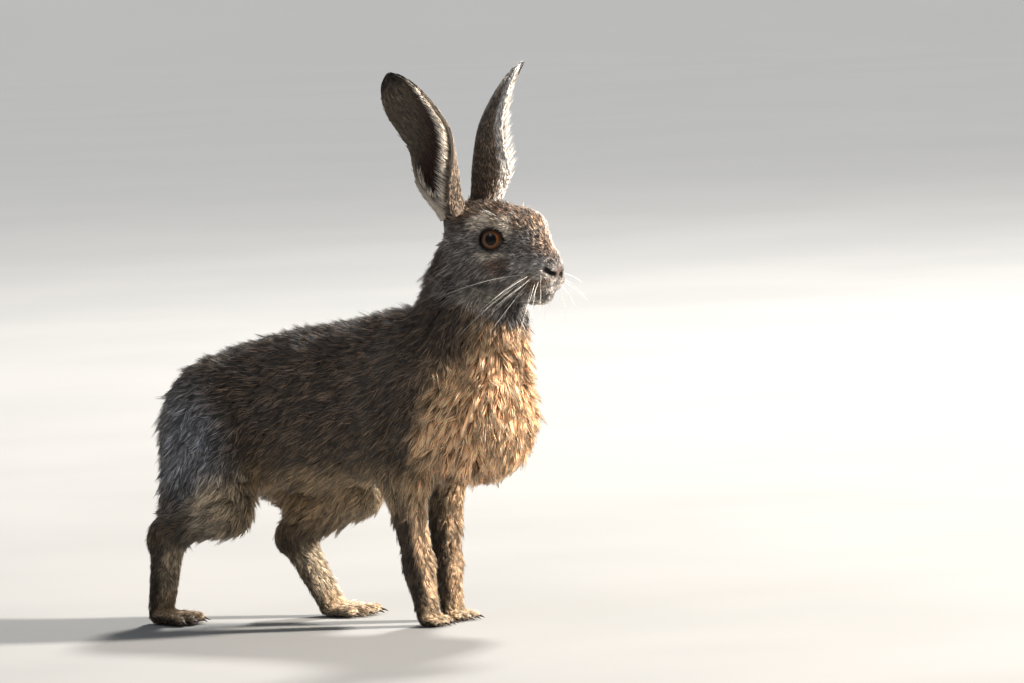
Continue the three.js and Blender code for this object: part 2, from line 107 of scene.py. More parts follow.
# The anatomy below is measured from a zero under the croup. The solid model's zero is under its middle.
ZERO_SHIFT = HEAD_PLACE - eye_middle()


HEAD_AXES = np.array([
    [math.cos(HEAD_TURN), -math.sin(HEAD_TURN), 0],
    [math.sin(HEAD_TURN), math.cos(HEAD_TURN), 0],
    [0, 0, 1],
])


def to_row(points: Array) -> Array:
    """Places of the anatomy in millimetres, as metres of the row frame."""
    return (points - ZERO_SHIFT) * MM


def on_head(points: Array) -> Array:
    """Places in the head's own frame, as places of the anatomy."""
    return points @ HEAD_AXES.T + HEAD_PLACE


def in_head(points: Array) -> Array:
    """Places of the anatomy, in the head's own frame."""
    return (points - HEAD_PLACE) @ HEAD_AXES


# The skin of the head has a finer net, which starts at a plane across the neck.
HEAD_CUT_NORMAL = vec(0.45, 0, 0.893)
HEAD_CUT_LEVEL = float(vec(141, 0, 199) @ HEAD_CUT_NORMAL)
HEAD_OVERLAP = 2.5
HEAD_BOX_LOW = vec(108, -34, 176)


def gaze(side: int) -> Array:
    """Direction in which an eye looks, in the head's frame. side is -1 on the hare's right."""
    return unit(vec(0.26, side, 0.1))


class Ripple:
    """A smooth field of noise from -1 to 1, as a sum of waves in seeded directions."""

    def __init__(self, seed: int, wavelength: float, count: int = 9) -> None:
        """Draws the waves.

        Args:
            seed: start of the random draw.
            wavelength: typical length of a wave, in millimetres.
            count: number of waves.
        """
        rng = np.random.default_rng(seed)
        self.waves = unit(rng.normal(size=(count, 3))) * (2 * math.pi / wavelength)
        self.waves *= rng.uniform(0.6, 1.6, size=(count, 1))
        self.phases = rng.uniform(0, 2 * math.pi, count)

    def at(self, points: Array) -> Array:
        """The noise at each point."""
        total = np.sin(points @ self.waves.T + self.phases).sum(axis=1)
        return np.clip(total / math.sqrt(len(self.phases)), -1.6, 1.6) / 1.6


class Part(Enum):
    """A stretch of the animal whose coat is kept in pieces of its own."""

    TRUNK = "trunk"
    CHEST = "chest"
    NECK = "neck"
    HEAD = "head"
    TAIL = "tail"
    THIGH_RIGHT = "thigh_right"
    THIGH_LEFT = "thigh_left"
    HIND_RIGHT = "hind_right"
    HIND_LEFT = "hind_left"
    FORE_RIGHT = "fore_right"
    FORE_LEFT = "fore_left"


@dataclass(frozen=True)
class Fur:
    """How the coat grows on one form of the body, in millimetres."""

    depth: float  # from the skin to the coat's outline
    length: float
    width: float
    density: float  # tufts on a square millimetre
    clump: float  # share by which the tips gather


TRUNK_FUR = Fur(5.0, 10.5, 0.55, 1.7, 0.75)
RUMP_FUR = Fur(5.5, 13, 0.54, 1.7, 0.8)
CHEST_FUR = Fur(7.0, 15, 0.56, 1.9, 0.92)
NECK_FUR = Fur(5.0, 10, 0.52, 1.9, 0.75)
SKULL_FUR = Fur(2.5, 6.4, 0.6, 2.4, 0.85)
CHEEK_FUR = Fur(2.6, 6.5, 0.52, 2.6, 0.75)
MUZZLE_FUR = Fur(1.2, 3.4, 0.4, 4.4, 0.6)
LEG_FUR = Fur(2.8, 10, 0.5, 1.9, 0.85)
SHANK_FUR = Fur(3.4, 11, 0.52, 1.7, 0.85)
FOOT_FUR = Fur(1.5, 4.8, 0.42, 2.6, 0.6)
TAIL_FUR = Fur(3.6, 9, 0.5, 2.2, 0.4)


@dataclass(frozen=True)
class Form:
    """One rounded form of the flesh: an ellipsoid, or a limb between two balls."""

    start: Array
    end: Array | None
    size: Array  # radii of an ellipsoid, or the radius at each end of a limb
    soft: float
    fur: Fur
    part: Part
    lie: Array
    pitch: float = 0.0
    hollow: bool = False

    @property
    def radii(self) -> Array:
        """The sizes less the depth of the coat."""
        return self.size if self.hollow else np.maximum(self.size - self.fur.depth, 0.6)

    def box(self) -> tuple[Array, Array]:
        """Lowest and highest corner of the form."""
        reach = self.radii.max()
        ends = [self.start] if self.end is None else [self.start, self.end]
        return np.min(ends, axis=0) - reach, np.max(ends, axis=0) + reach

    def distance(self, points: Array) -> Array:
        """Distance of each point from the form's surface, less than zero inside.

        Args:
            points: places in millimetres, in the last axis.

        Returns:
            One distance for each point.
        """
        if self.end is None:
            x, y, z = np.moveaxis(points - self.start, -1, 0)
            c, s = math.cos(self.pitch), math.sin(self.pitch)
            turned = np.stack([c * x - s * z, y, s * x + c * z], axis=-1) / self.radii
            level = np.linalg.norm(turned, axis=-1)
            slope = np.linalg.norm(turned / self.radii, axis=-1)
            return level * (level - 1) / np.maximum(slope, 1e-6)
        along = self.end - self.start
        q = points - self.start
        share = np.clip(q @ along / (along @ along), 0, 1)
        radius = self.radii[0] + (self.radii[1] - self.radii[0]) * share
        return np.linalg.norm(q - share[..., None] * along, axis=-1) - radius


def ellipsoid(centre: Array, radii: Array, soft: float, fur: Fur, part: Part, lie: Array,
              pitch: float = 0) -> Form:
    """A rounded mass of flesh whose coat lies along one direction."""
    return Form(centre, None, radii, soft, fur, part, unit(lie), pitch)


def limb(start: Array, end: Array, radii: tuple[float, float], soft: float, fur: Fur, part: Part,
         lie: Array | None = None) -> Form:
    """A tapered length of flesh whose coat lies from its start to its end, or as told."""
    return Form(start, end, vec(*radii), soft, fur, part, unit(end - start if lie is None else lie))


def hollow(form: Form) -> Form:
    """The same form, taken out of the flesh before it."""
    return replace(form, hollow=True)


@dataclass(frozen=True)
class HindLeg:
    """The joints of a hind leg. side is -1 on the hare's right and 1 on its left."""

    side: int
    hip: Array
    knee: Array
    hock: Array
    heel: Array
    ball: Array
    thigh_part: Part
    part: Part

    def forms(self) -> list[Form]:
        """The flesh from the haunch to the ball of the foot."""
        ham = self.hip + vec(-10, self.side * 3, -10)
        thigh = self.thigh_part
        down = vec(-0.75, 0, -0.66)
        return [
            ellipsoid(self.hip, vec(36, 20, 40), 12, RUMP_FUR, thigh, down, 0.15),
            limb(self.hip, self.knee, (24, 16), 14, RUMP_FUR, thigh, vec(-0.35, 0, -0.94)),
            limb(ham, self.hock + vec(8, 0, 18), (20, 13), 14, RUMP_FUR, thigh, vec(-0.4, 0, -0.92)),
            limb(self.knee, self.hock, (15, 10.5), 10, SHANK_FUR, self.part),
            limb(self.hock, self.heel, (8.5, 7.5), 5, FOOT_FUR, self.part, self.ball - self.hock),
            limb(self.hock, self.ball, (10.5, 8.2), 6, FOOT_FUR, self.part),
        ]


@dataclass(frozen=True)
class ForeLeg:
    """The joints of a foreleg. side is -1 on the hare's right and 1 on its left."""

    side: int
    shoulder: Array
    elbow: Array
    wrist: Array
    ball: Array
    part: Part

    def forms(self) -> list[Form]:
        """The flesh from the shoulder blade to the ball of the foot."""
        blade = vec(self.shoulder[0] - 14, self.side * 22, self.shoulder[2] + 12)
        down = vec(-0.45, 0, -0.9)
        return [
            ellipsoid(blade, vec(26, 15, 42), 16, TRUNK_FUR, Part.TRUNK, vec(-0.8, 0, -0.6), 0.35),
            limb(self.shoulder, self.elbow, (19, 15), 14, TRUNK_FUR, Part.TRUNK, down),
            limb(self.elbow, self.wrist, (13, 9), 12, LEG_FUR, self.part, vec(-0.12, 0, -1)),
            limb(self.wrist, self.ball, (9, 7.5), 6, FOOT_FUR, self.part),
        ]


@dataclass(frozen=True)
class Toes:
    """The toes of one kind of foot."""

    count: int
    length: float
    radius: float
    turn: float

    def lines(self, ball: Array, side: int) -> list[tuple[Array, Array]]:
        """Where each toe starts and ends, in a fan from the ball of the foot."""
        middle = (self.count - 1) / 2
        toes = []
        for i in range(self.count):
            spread = (i - middle) / middle
            heading = self.turn * side + spread * 0.24
            reach = self.length * (1 - 0.15 * abs(spread) + 0.05 * side * spread)
            start = vec(ball[0], ball[1] + spread * self.radius * 1.5, self.radius + 0.3)
            end = start + vec(reach * math.cos(heading), reach * math.sin(heading), -1.6)
            toes.append((start, end))
        return toes

    def forms(self, leg: HindLeg | ForeLeg) -> list[Form]:
        """The flesh of the toes."""
        r = self.radius
        return [limb(a, b, (r, r - 0.5), 2.5, FOOT_FUR, leg.part) for a, b in self.lines(leg.ball, leg.side)]


HIND_LEGS = (
    HindLeg(-1, vec(-42, -20, 118), vec(-26, -33, 69), vec(-71, -31, 55), vec(-78, -31, 50),
            vec(-79, -31, 7.5), Part.THIGH_RIGHT, Part.HIND_RIGHT),
    HindLeg(1, vec(-38, 20, 118), vec(30, 25, 75), vec(-19, 27, 49), vec(-24, 27, 44), vec(7, 25, 7.5),
            Part.THIGH_LEFT, Part.HIND_LEFT),
)
FORE_LEGS = (
    ForeLeg(-1, vec(112, -22, 124), vec(93, -23, 90), vec(97, -16, 34), vec(101, -15, 7), Part.FORE_RIGHT),
    ForeLeg(1, vec(112, 22, 124), vec(93, 23, 90), vec(96, 16, 34), vec(99, 15, 7), Part.FORE_LEFT),
)
HIND_TOES = Toes(4, 27, 4.4, 0.1)
FORE_TOES = Toes(4, 12, 3.8, 0.0)


@dataclass(frozen=True)
class Trunk:
    """The back, belly, breast, neck and tail."""

    loin: float = 173
    croup: float = 157
    withers: float = 190
    belly: float = 76
    chest: float = 172
    half_width: float = 35

    def forms(self) -> list[Form]:
        """The flesh of the trunk, tail end first."""
        middle = (self.belly + self.loin) / 2
        depth = (self.loin - self.belly) / 2
        w = self.half_width
        back = vec(-0.88, 0, -0.47)
        breast = vec(-0.3, 0, -0.95)
        trunk, chest, neck, tail = Part.TRUNK, Part.CHEST, Part.NECK, Part.TAIL
        return [
            ellipsoid(vec(22, 0, middle + 2), vec(88, w, depth), 8, TRUNK_FUR, trunk, back, -0.05),
            ellipsoid(vec(-36, 0, self.croup - 40), vec(46, w + 1, 40), 14, RUMP_FUR, trunk,
                      vec(-0.85, 0, -0.5)),
            limb(vec(-52, 0, self.croup - 22), vec(84, 0, self.withers - 20), (20, 19), 16, TRUNK_FUR, trunk,
                 vec(-1, 0, -0.12)),
            ellipsoid(vec(88, 0, 130), vec(52, w - 1, 49), 14, TRUNK_FUR, trunk, vec(-0.85, 0, -0.5), -0.25),
            ellipsoid(vec(self.chest - 37, 0, 122), vec(36, w - 4, 40), 14, CHEST_FUR, chest, breast, 0.35),
            limb(vec(112, 0, 152), vec(131, 0, 190), (36, 28.5), 16, NECK_FUR, neck, vec(-0.55, 0, -0.83)),
            limb(vec(131, 0, 190), vec(134, -1, 213), (28.5, 24.5), 10, NECK_FUR, neck, vec(-0.45, 0, -0.9)),
            limb(vec(148, 0, 156), vec(152, 0, 182), (21, 17.5), 14, CHEST_FUR, chest, vec(-0.1, 0, -1)),
            limb(vec(-74, 0, 118), vec(-85, 0, 92), (11, 9), 8, TAIL_FUR, tail, vec(-0.5, 0, -0.87)),
            limb(vec(-85, 0, 92), vec(-87, 0, 70), (9, 6.5), 5, TAIL_FUR, tail),
        ]


@dataclass(frozen=True)
class Head:
    """The skull, cheeks, muzzle, lids and lips."""

    half_width: float = 21.5
    eye: Array = field(default_factory=lambda: vec(0, 11.9, 0))
    nose: Array = field(default_factory=lambda: vec(36.4, 0, -17))
    ear_root: Array = field(default_factory=lambda: vec(-31, 10, 16))
    lid_thickness: float = 1.15
    lids_across: float = 7.9
    lids_high: float = 5.4

    def mass(self, centre: Array, radii: Array, soft: float, fur: Fur, lie: Array, side: int = 1) -> Form:
        """A rounded mass, given in the head's frame."""
        flip = vec(1, side, 1)
        return ellipsoid(on_head(centre * flip), radii, soft, fur, Part.HEAD, lie * flip)

    def rod(self, start: Array, end: Array, radii: tuple[float, float], soft: float, fur: Fur,
            lie: Array | None = None, side: int = 1) -> Form:
        """A tapered length, given in the head's frame."""
        flip = vec(1, side, 1)
        way = (end - start if lie is None else lie) * flip
        return limb(on_head(start * flip), on_head(end * flip), radii, soft, fur, Part.HEAD, way)

    def skull_forms(self) -> list[Form]:
        """The forms that give the head its outline, as in the solid model."""
        w = self.half_width
        back, rise = vec(-1, 0, -0.25), vec(-0.93, 0, 0.36)
        forms = [
            self.mass(vec(-15, 0, 1), vec(25, w - 0.5, 22.5), 8, CHEEK_FUR, vec(-0.9, 0.2, -0.45)),
            self.mass(vec(3.5, 0, 3), vec(21.5, w - 3, 16.5), 8, SKULL_FUR, rise),
            self.rod(vec(4, 0, -9), vec(25.5, 0, -18.5), (18, 10.4), 7, MUZZLE_FUR, back),
            self.rod(vec(12, 0, 3), vec(27.5, 0, -10.5), (12.5, 6.2), 8, MUZZLE_FUR, rise),
            self.rod(vec(-12, 0, -19), vec(12, 0, -30), (15.5, 9.5), 8, CHEEK_FUR, vec(-0.9, 0, -0.4)),
            self.mass(vec(21, 0, -32), vec(9.5, 7.2, 7.5), 4, MUZZLE_FUR, vec(-0.8, 0, -0.6)),
        ]
        for side in (-1, 1):
            root = self.ear_root + vec(0, 1, 2)
            forms += [
                self.mass(vec(1, 15, 10), vec(11, 6, 5.5), 5, SKULL_FUR, vec(-0.9, 0.2, 0.35), side),
                self.mass(vec(-5, w - 9.5, -13), vec(19, 10.5, 14), 9, CHEEK_FUR, vec(-0.85, 0, -0.5), side),
                self.mass(vec(25.8, 5.2, -23.8), vec(9.5, 7.2, 7.4), 4, MUZZLE_FUR, vec(-1, 0.3, -0.35),
                          side),
                self.rod(vec(-26, 9, 8), root, (11, 7.5), 8, SKULL_FUR, vec(-0.4, 0, 0.9), side),
                hollow(self.mass(vec(0.5, 22.5, 0), vec(11, 6.5, 8.6), 3.5, SKULL_FUR, back, side)),
            ]
        forms.append(self.mass(self.nose + vec(-5, 0, 0.5), vec(5.5, 5.6, 5), 3, MUZZLE_FUR, rise))
        return forms

    def lid_points(self, side: int, steps: int, swell: float) -> Array:
        """A ring of points on the eyeball's face, round the opening between the lids.

        Args:
            side: -1 for the right eye and 1 for the left.
            steps: number of points.
            swell: how far the ring is moved outwards from the opening's edge.

        Returns:
            Points in the head's frame.
        """
        out = gaze(side)
        along = unit(np.cross(vec(0, 0, 1), out)) * -side
        up = unit(np.cross(along, out)) * -side
        angle = np.arange(steps) / steps * 2 * math.pi
        front = np.maximum(np.cos(angle), 0)
        across = (self.lids_across + swell) * (1 + 0.17 * front ** 6)
        x = across * np.cos(angle)
        y = (self.lids_high + swell) * np.sin(angle) - 1.4 * front ** 2
        ball = np.sqrt((EYE_RADIUS + LID_LIFT) ** 2 - np.minimum(x * x + y * y, EYE_RADIUS ** 2))
        centre = self.eye * vec(1, side, 1)
        return centre + x[:, None] * along + y[:, None] * up + ball[:, None] * out

    def face_forms(self) -> list[Form]:
        """The finer forms of the face: sockets, lids, nostrils, lips and the line of the mouth."""
        bare = Fur(0.5, 2.4, 0.3, 4.0, 0.1)
        forms = []
        for side in (-1, 1):
            flip = vec(1, side, 1)
            ring = self.lid_points(side, 16, 1.0)
            thick = self.lid_thickness
            forms += [
                self.rod(ring[i - 1] * flip, ring[i] * flip, (thick, thick), 1.6, bare, vec(-1, 0, 0), side)
                for i in range(len(ring))
            ]
            socket = self.mass(self.eye, vec(1, 1, 1) * (EYE_RADIUS + 0.15), 0.4, bare, vec(-1, 0, 0), side)
            forms += [
                hollow(socket),
                self.rod(vec(30, 5.4, -15.5), vec(34.6, 3.9, -18), (2.0, 2.0), 2.5, bare, vec(-1, 0, 0),
                         side),
                hollow(self.rod(vec(31.2, 6.0, -18.4), vec(35.6, 3.0, -22.8), (1.1, 2.2), 0.9, bare,
                                side=side)),
            ]
            corner = [vec(33.4, 0.4, -31), vec(30.6, 4.6, -32), vec(24.5, 7.4, -32.2), vec(17, 9.6, -30.6)]
            for a, b in zip(corner, corner[1:]):
                forms.append(hollow(self.rod(a, b, (0.75, 0.65), 0.8, bare, side=side)))
        forms.append(hollow(self.rod(vec(36.6, 0, -23.5), vec(33.8, 0, -31), (0.5, 0.7), 0.8, bare)))
        return forms


class Flesh:
    """The whole body as one field of distances, less than zero inside the skin."""

    def __init__(self) -> None:
        """Gathers the forms in the order in which they are joined."""
        head = Head()
        legs = [leg.forms() for leg in (*HIND_LEGS, *FORE_LEGS)]
        toes = [HIND_TOES.forms(leg) for leg in HIND_LEGS] + [FORE_TOES.forms(leg) for leg in FORE_LEGS]
        self.forms: list[Form] = Trunk().forms()
        for group in (*legs, *toes, head.skull_forms(), head.face_forms()):
            self.forms += group

    @staticmethod
    def join(d: Array, form: Form, points: Array) -> Array:
        """Adds a form to the field, or takes it out, with a fillet where they meet."""
        sign = -1 if form.hollow else 1
        a, b = sign * d, form.distance(points)
        share = np.maximum(form.soft - np.abs(a - b), 0) / form.soft
        return sign * (np.minimum(a, b) - share * share * form.soft / 4)

    def values(self, points: Array) -> Array:
        """The field at a list of points."""
        d = np.full(len(points), 1000.0)
        for form in self.forms:
            low, high = form.box()
            margin = form.soft + 6
            near = np.all((points > low - margin) & (points < high + margin), axis=1)
            d[near] = self.join(d[near], form, points[near])
        return d

    def slope(self, points: Array) -> Array:
        """The field's gradient at a list of points."""
        step = 0.15
        parts = [self.values(points + step * axis) - self.values(points - step * axis) for axis in np.eye(3)]
        return np.stack(parts, axis=1) / (2 * step)

    def net(self, cell: float, side: int) -> tuple[Array, Array]:
        """The skin on one side of the cut behind the head, as quads on a grid of cells.

        Args:
            cell: edge of a cell in millimetres.
            side: 1 for the head and -1 for the rest. The two overlap a little.

        Returns:
            The points in millimetres, and the corners of each quad.
        """
        boxes = [form.box() for form in self.forms if side < 0 or form.part in (Part.HEAD, Part.NECK)]
        low = np.min([b[0] for b in boxes], axis=0) - 3 * cell
        high = np.max([b[1] for b in boxes], axis=0) + 3 * cell
        if side > 0:
            low = np.maximum(low, HEAD_BOX_LOW)
        counts = np.ceil((high - low) / cell).astype(int)
        axes = [low[i] + cell * np.arange(counts[i]) for i in range(3)]
        level = np.full(counts, 1000.0)
        for form in self.forms:
            margin = form.soft + 3 * cell
            first = [np.searchsorted(axes[i], form.box()[0][i] - margin) for i in range(3)]
            last = [np.searchsorted(axes[i], form.box()[1][i] + margin) for i in range(3)]
            spot = tuple(slice(a, b) for a, b in zip(first, last))
            points = np.stack(np.meshgrid(*[axes[i][spot[i]] for i in range(3)], indexing="ij"), axis=-1)
            if points.size:
                level[spot] = self.join(level[spot], form, points)
        level = np.maximum(level, 0.4 - axes[2])
        along = axes[0][:, None, None] * HEAD_CUT_NORMAL[0] + axes[2] * HEAD_CUT_NORMAL[2] - HEAD_CUT_LEVEL
        level = np.maximum(level, -side * along - HEAD_OVERLAP)
        grid = openvdb.FloatGrid(1000.0)
        grid.copyFromArray(level.astype(np.float32))
        points, quads = grid.convertToQuads(0.0)
        return points.astype(float) * cell + low, quads.astype(int)

    def weights(self, points: Array) -> Array:
        """How much each form counts for the coat at each point."""
        solid = [form for form in self.forms if not form.hollow]
        d = np.stack([form.distance(points) for form in solid], axis=1)
        d += np.array([form.fur.depth * 0.5 for form in solid])
        w = np.exp(-(d - d.min(axis=1, keepdims=True)) / 3.5)
        return w / w.sum(axis=1, keepdims=True)

    def coat_at(self, points: Array) -> "CoatPlan":
        """The coat's measures, lie and part at each point."""
        solid = [form for form in self.forms if not form.hollow]
        w = self.weights(points)
        names = ("length", "width", "density", "clump")
        measures = {n: w @ np.array([getattr(f.fur, n) for f in solid]) for n in names}
        parts = list(Part)
        owner = np.array([parts.index(f.part) for f in solid])
        best = owner[np.argmax(w, axis=1)]
        lie = unit(w @ np.array([f.lie for f in solid]))
        return CoatPlan(lie=lie, part=best, height=w @ np.array([f.fur.depth for f in solid]), **measures)


@dataclass
class CoatPlan:
    """The coat's measures, lie and part at a list of points."""

    lie: Array
    part: Array
    length: Array
    width: Array
    density: Array
    height: Array
    clump: Array


def make_mesh(name: str, points: Array, polygons: Array) -> bpy.types.Mesh:
    """A mesh from arrays.

    Args:
        name: name of the mesh.
        points: places of the anatomy in millimetres.
        polygons: corners of each polygon, all with the same number of corners.

    Returns:
        The mesh, in metres of the row frame, shaded smooth.
    """
    mesh = bpy.data.meshes.new(name)
    mesh.vertices.add(len(points))
    mesh.vertices.foreach_set("co", to_row(points).astype(np.float32).ravel())
    mesh.loops.add(polygons.size)
    mesh.loops.foreach_set("vertex_index", polygons.astype(np.int32).ravel())
    mesh.polygons.add(len(polygons))
    mesh.polygons.foreach_set("loop_start", np.arange(0, polygons.size, polygons.shape[1], dtype=np.int32))
    mesh.update(calc_edges=True)
    mesh.shade_smooth()
    return mesh


def paint(mesh: bpy.types.Mesh, name: str, colours: Array) -> None:
    """Stores one colour for each point of a mesh."""
    layer = mesh.attributes.new(name, "FLOAT_COLOR", "POINT")
    full = np.ones((len(colours), 4), dtype=np.float32)
    full[:, :colours.shape[1]] = colours
    layer.data.foreach_set("color", full.ravel())


def add_piece(mesh: bpy.types.Mesh, material: bpy.types.Material, replaces: tuple[str, ...] = ()
              ) -> bpy.types.Object:
    """Puts a mesh into the scene as a piece of the model.

    Args:
        mesh: the shape, whose name the piece takes.
        material: its finish.
        replaces: nodes of the solid model that the piece stands for.

    Returns:
        The new object.
    """
    mesh.materials.append(material)
    piece = bpy.data.objects.new(mesh.name, mesh)
    bpy.context.collection.objects.link(piece)
    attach(piece, "root")
    if replaces:
        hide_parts(*replaces)
    log.info("%s: %d faces", piece.name, len(mesh.polygons))
    return piece


@dataclass(frozen=True)
class Tone:
    """The colours along a tuft: its root, the pale band above it and the tip."""

    root: Array
    band: Array
    tip: Array


BACK = Tone(srgb(26, 21, 19), srgb(138, 117, 99), srgb(19, 16, 14))
RUMP = Tone(srgb(34, 31, 30), srgb(126, 116, 108), srgb(22, 20, 19))
# Painted reflection: a pale blue-grey that stands in for the sky reflected on the wet fur of the haunch.
SKY_SHEEN_GREY = Tone(srgb(112, 114, 121), srgb(184, 187, 196), srgb(92, 93, 98))
FLANK = Tone(srgb(48, 41, 34), srgb(148, 124, 94), srgb(58, 48, 37))
BELLY = Tone(srgb(140, 120, 92), srgb(204, 180, 146), srgb(190, 162, 126))
CHEST = Tone(srgb(86, 56, 34), srgb(240, 192, 144), srgb(250, 222, 184))
# Painted shade: a dark tone for the nape, standing in for shade over a paler coat.
NECK = Tone(srgb(30, 25, 21), srgb(108, 88, 70), srgb(28, 23, 19))
THROAT = Tone(srgb(84, 64, 46), srgb(196, 166, 134), srgb(226, 200, 170))
# Painted light: a pale tone for the lit front of the legs.
LIT_LEG_FRONT = Tone(srgb(120, 90, 64), srgb(220, 184, 146), srgb(236, 206, 170))
# Painted shade: a dark tone for the shaded rear and sides of the legs.
SHADED_LEG_REAR = Tone(srgb(34, 28, 21), srgb(92, 74, 52), srgb(28, 23, 18))
# A pale tone for the hind legs; where it is laid by their facing and on the lower left leg it is painted
# light.
HIND_FRONT = Tone(srgb(130, 114, 94), srgb(212, 192, 164), srgb(222, 204, 178))
FOOT = Tone(srgb(120, 98, 74), srgb(196, 170, 138), srgb(206, 182, 150))
TAIL_TOP = Tone(srgb(30, 26, 24), srgb(40, 36, 34), srgb(22, 20, 19))
TAIL_UNDER = Tone(srgb(190, 188, 186), srgb(230, 228, 226), srgb(238, 237, 236))
CROWN = Tone(srgb(34, 26, 21), srgb(200, 172, 146), srgb(26, 20, 17))
FOREHEAD = Tone(srgb(74, 46, 30), srgb(206, 168, 134), srgb(60, 38, 26))
BRIDGE = Tone(srgb(80, 60, 48), srgb(206, 176, 152), srgb(74, 55, 45))
MUZZLE = Tone(srgb(104, 100, 100), srgb(200, 194, 190), srgb(150, 142, 138))
PAD = Tone(srgb(66, 54, 42), srgb(140, 118, 94), srgb(92, 74, 58))
CHEEK = Tone(srgb(48, 45, 44), srgb(168, 160, 154), srgb(58, 54, 52))
CREAM = Tone(srgb(192, 176, 158), srgb(242, 228, 210), srgb(246, 234, 218))
WHITE = Tone(srgb(204, 194, 184), srgb(240, 232, 224), srgb(244, 238, 232))
RUFOUS = Tone(srgb(84, 56, 38), srgb(164, 122, 86), srgb(112, 76, 50))
DARK = Tone(srgb(20, 17, 15), srgb(34, 28, 24), srgb(18, 15, 13))
NOSE = Tone(srgb(84, 72, 66), srgb(112, 97, 90), srgb(104, 88, 82))
# The cup's skin: its own reddish colour, darkened with painted shade inside the cup and reddened with painted
# light shining through the thin ear.
EAR_FLESH = Tone(srgb(54, 30, 20), srgb(74, 46, 32), srgb(64, 41, 29))
EAR_GREY = Tone(srgb(92, 84, 72), srgb(140, 130, 114), srgb(120, 110, 96))
EAR_BACK = Tone(srgb(22, 18, 16), srgb(124, 108, 92), srgb(20, 16, 14))


@dataclass
class Shades:
    """The colours of the coat at a list of points, laid over each other tone by tone."""

    root: Array
    band: Array
    tip: Array

    @classmethod
    def of(cls, count: int, tone: Tone) -> "Shades":
        """One tone at every point."""
        return cls(*(np.tile(c, (count, 1)) for c in (tone.root, tone.band, tone.tip)))

    def chosen(self, pick: Array | slice) -> "Shades":
        """The colours at some of the points."""
        return Shades(self.root[pick], self.band[pick], self.tip[pick])

    def lay(self, mask: Array, tone: Tone) -> None:
        """Lays a tone over the points as far as the mask says, from 0 to 1."""
        share = np.clip(mask, 0, 1)[:, None]
        self.root += (tone.root - self.root) * share
        self.band += (tone.band - self.band) * share
        self.tip += (tone.tip - self.tip) * share


def blot(points: Array, centre: Array, radii: Array, edge: float = 0.35) -> Array:
    """A soft-edged patch: 1 inside an ellipsoid, falling to 0 outside it.

    Args:
        points: places in the frame of the centre.
        centre: middle of the patch.
        radii: its half sizes.
        edge: width of the soft edge, as a share of the radii.

    Returns:
        A share from 0 to 1 for each point.
    """
    level = np.linalg.norm((points - centre) / radii, axis=1)
    return 1 - smooth(level, 1 - edge, 1 + edge)


@dataclass(frozen=True)
class Patch:
    """A soft-edged patch of one tone on the head, alike on both sides."""

    tone: Tone
    centre: tuple[float, float, float]
    radii: tuple[float, float, float]
    edge: float = 0.35
    share: float = 1.0

    def lay(self, h: Array, shades: Shades) -> None:
        """Lays the patch at places in the head's frame, whose y is at or above 0."""
        shades.lay(blot(h, vec(*self.centre), vec(*self.radii), self.edge) * self.share, self.tone)


FACE_PATCHES = (
    Patch(FOREHEAD, (10, 0, 13), (14, 11, 12), share=0.85),
    Patch(BRIDGE, (24, 0, -5), (14, 8, 9), share=0.9),
    Patch(MUZZLE, (22, 10, -17), (14, 8, 9)),
    Patch(PAD, (26, 10, -25), (9, 7, 6)),
    Patch(RUFOUS, (4, 16, -13), (8, 7, 5.5), 0.5, 0.6),
    Patch(DARK, (9.5, 15, -12), (1.8, 7, 7), 0.7, 0.5),
    Patch(CREAM, (-5, 15, 10), (9, 6, 4.5), 0.4),
    Patch(CREAM, (8, 14, 6), (6, 5, 6), 0.4, 0.9),
    Patch(CREAM, (0, 17, -9), (9, 6, 2.4), 0.6, 0.9),
    Patch(CREAM, (-6, 13, -32), (13, 9, 5), 0.6, 0.7),
)
LIP_PATCHES = (
    Patch(WHITE, (34.5, 3, -28.5), (5, 6, 4), 0.5, 0.9),
    Patch(WHITE, (29, 8.5, -21.5), (4, 5, 2.0), 0.7, 0.6),
)


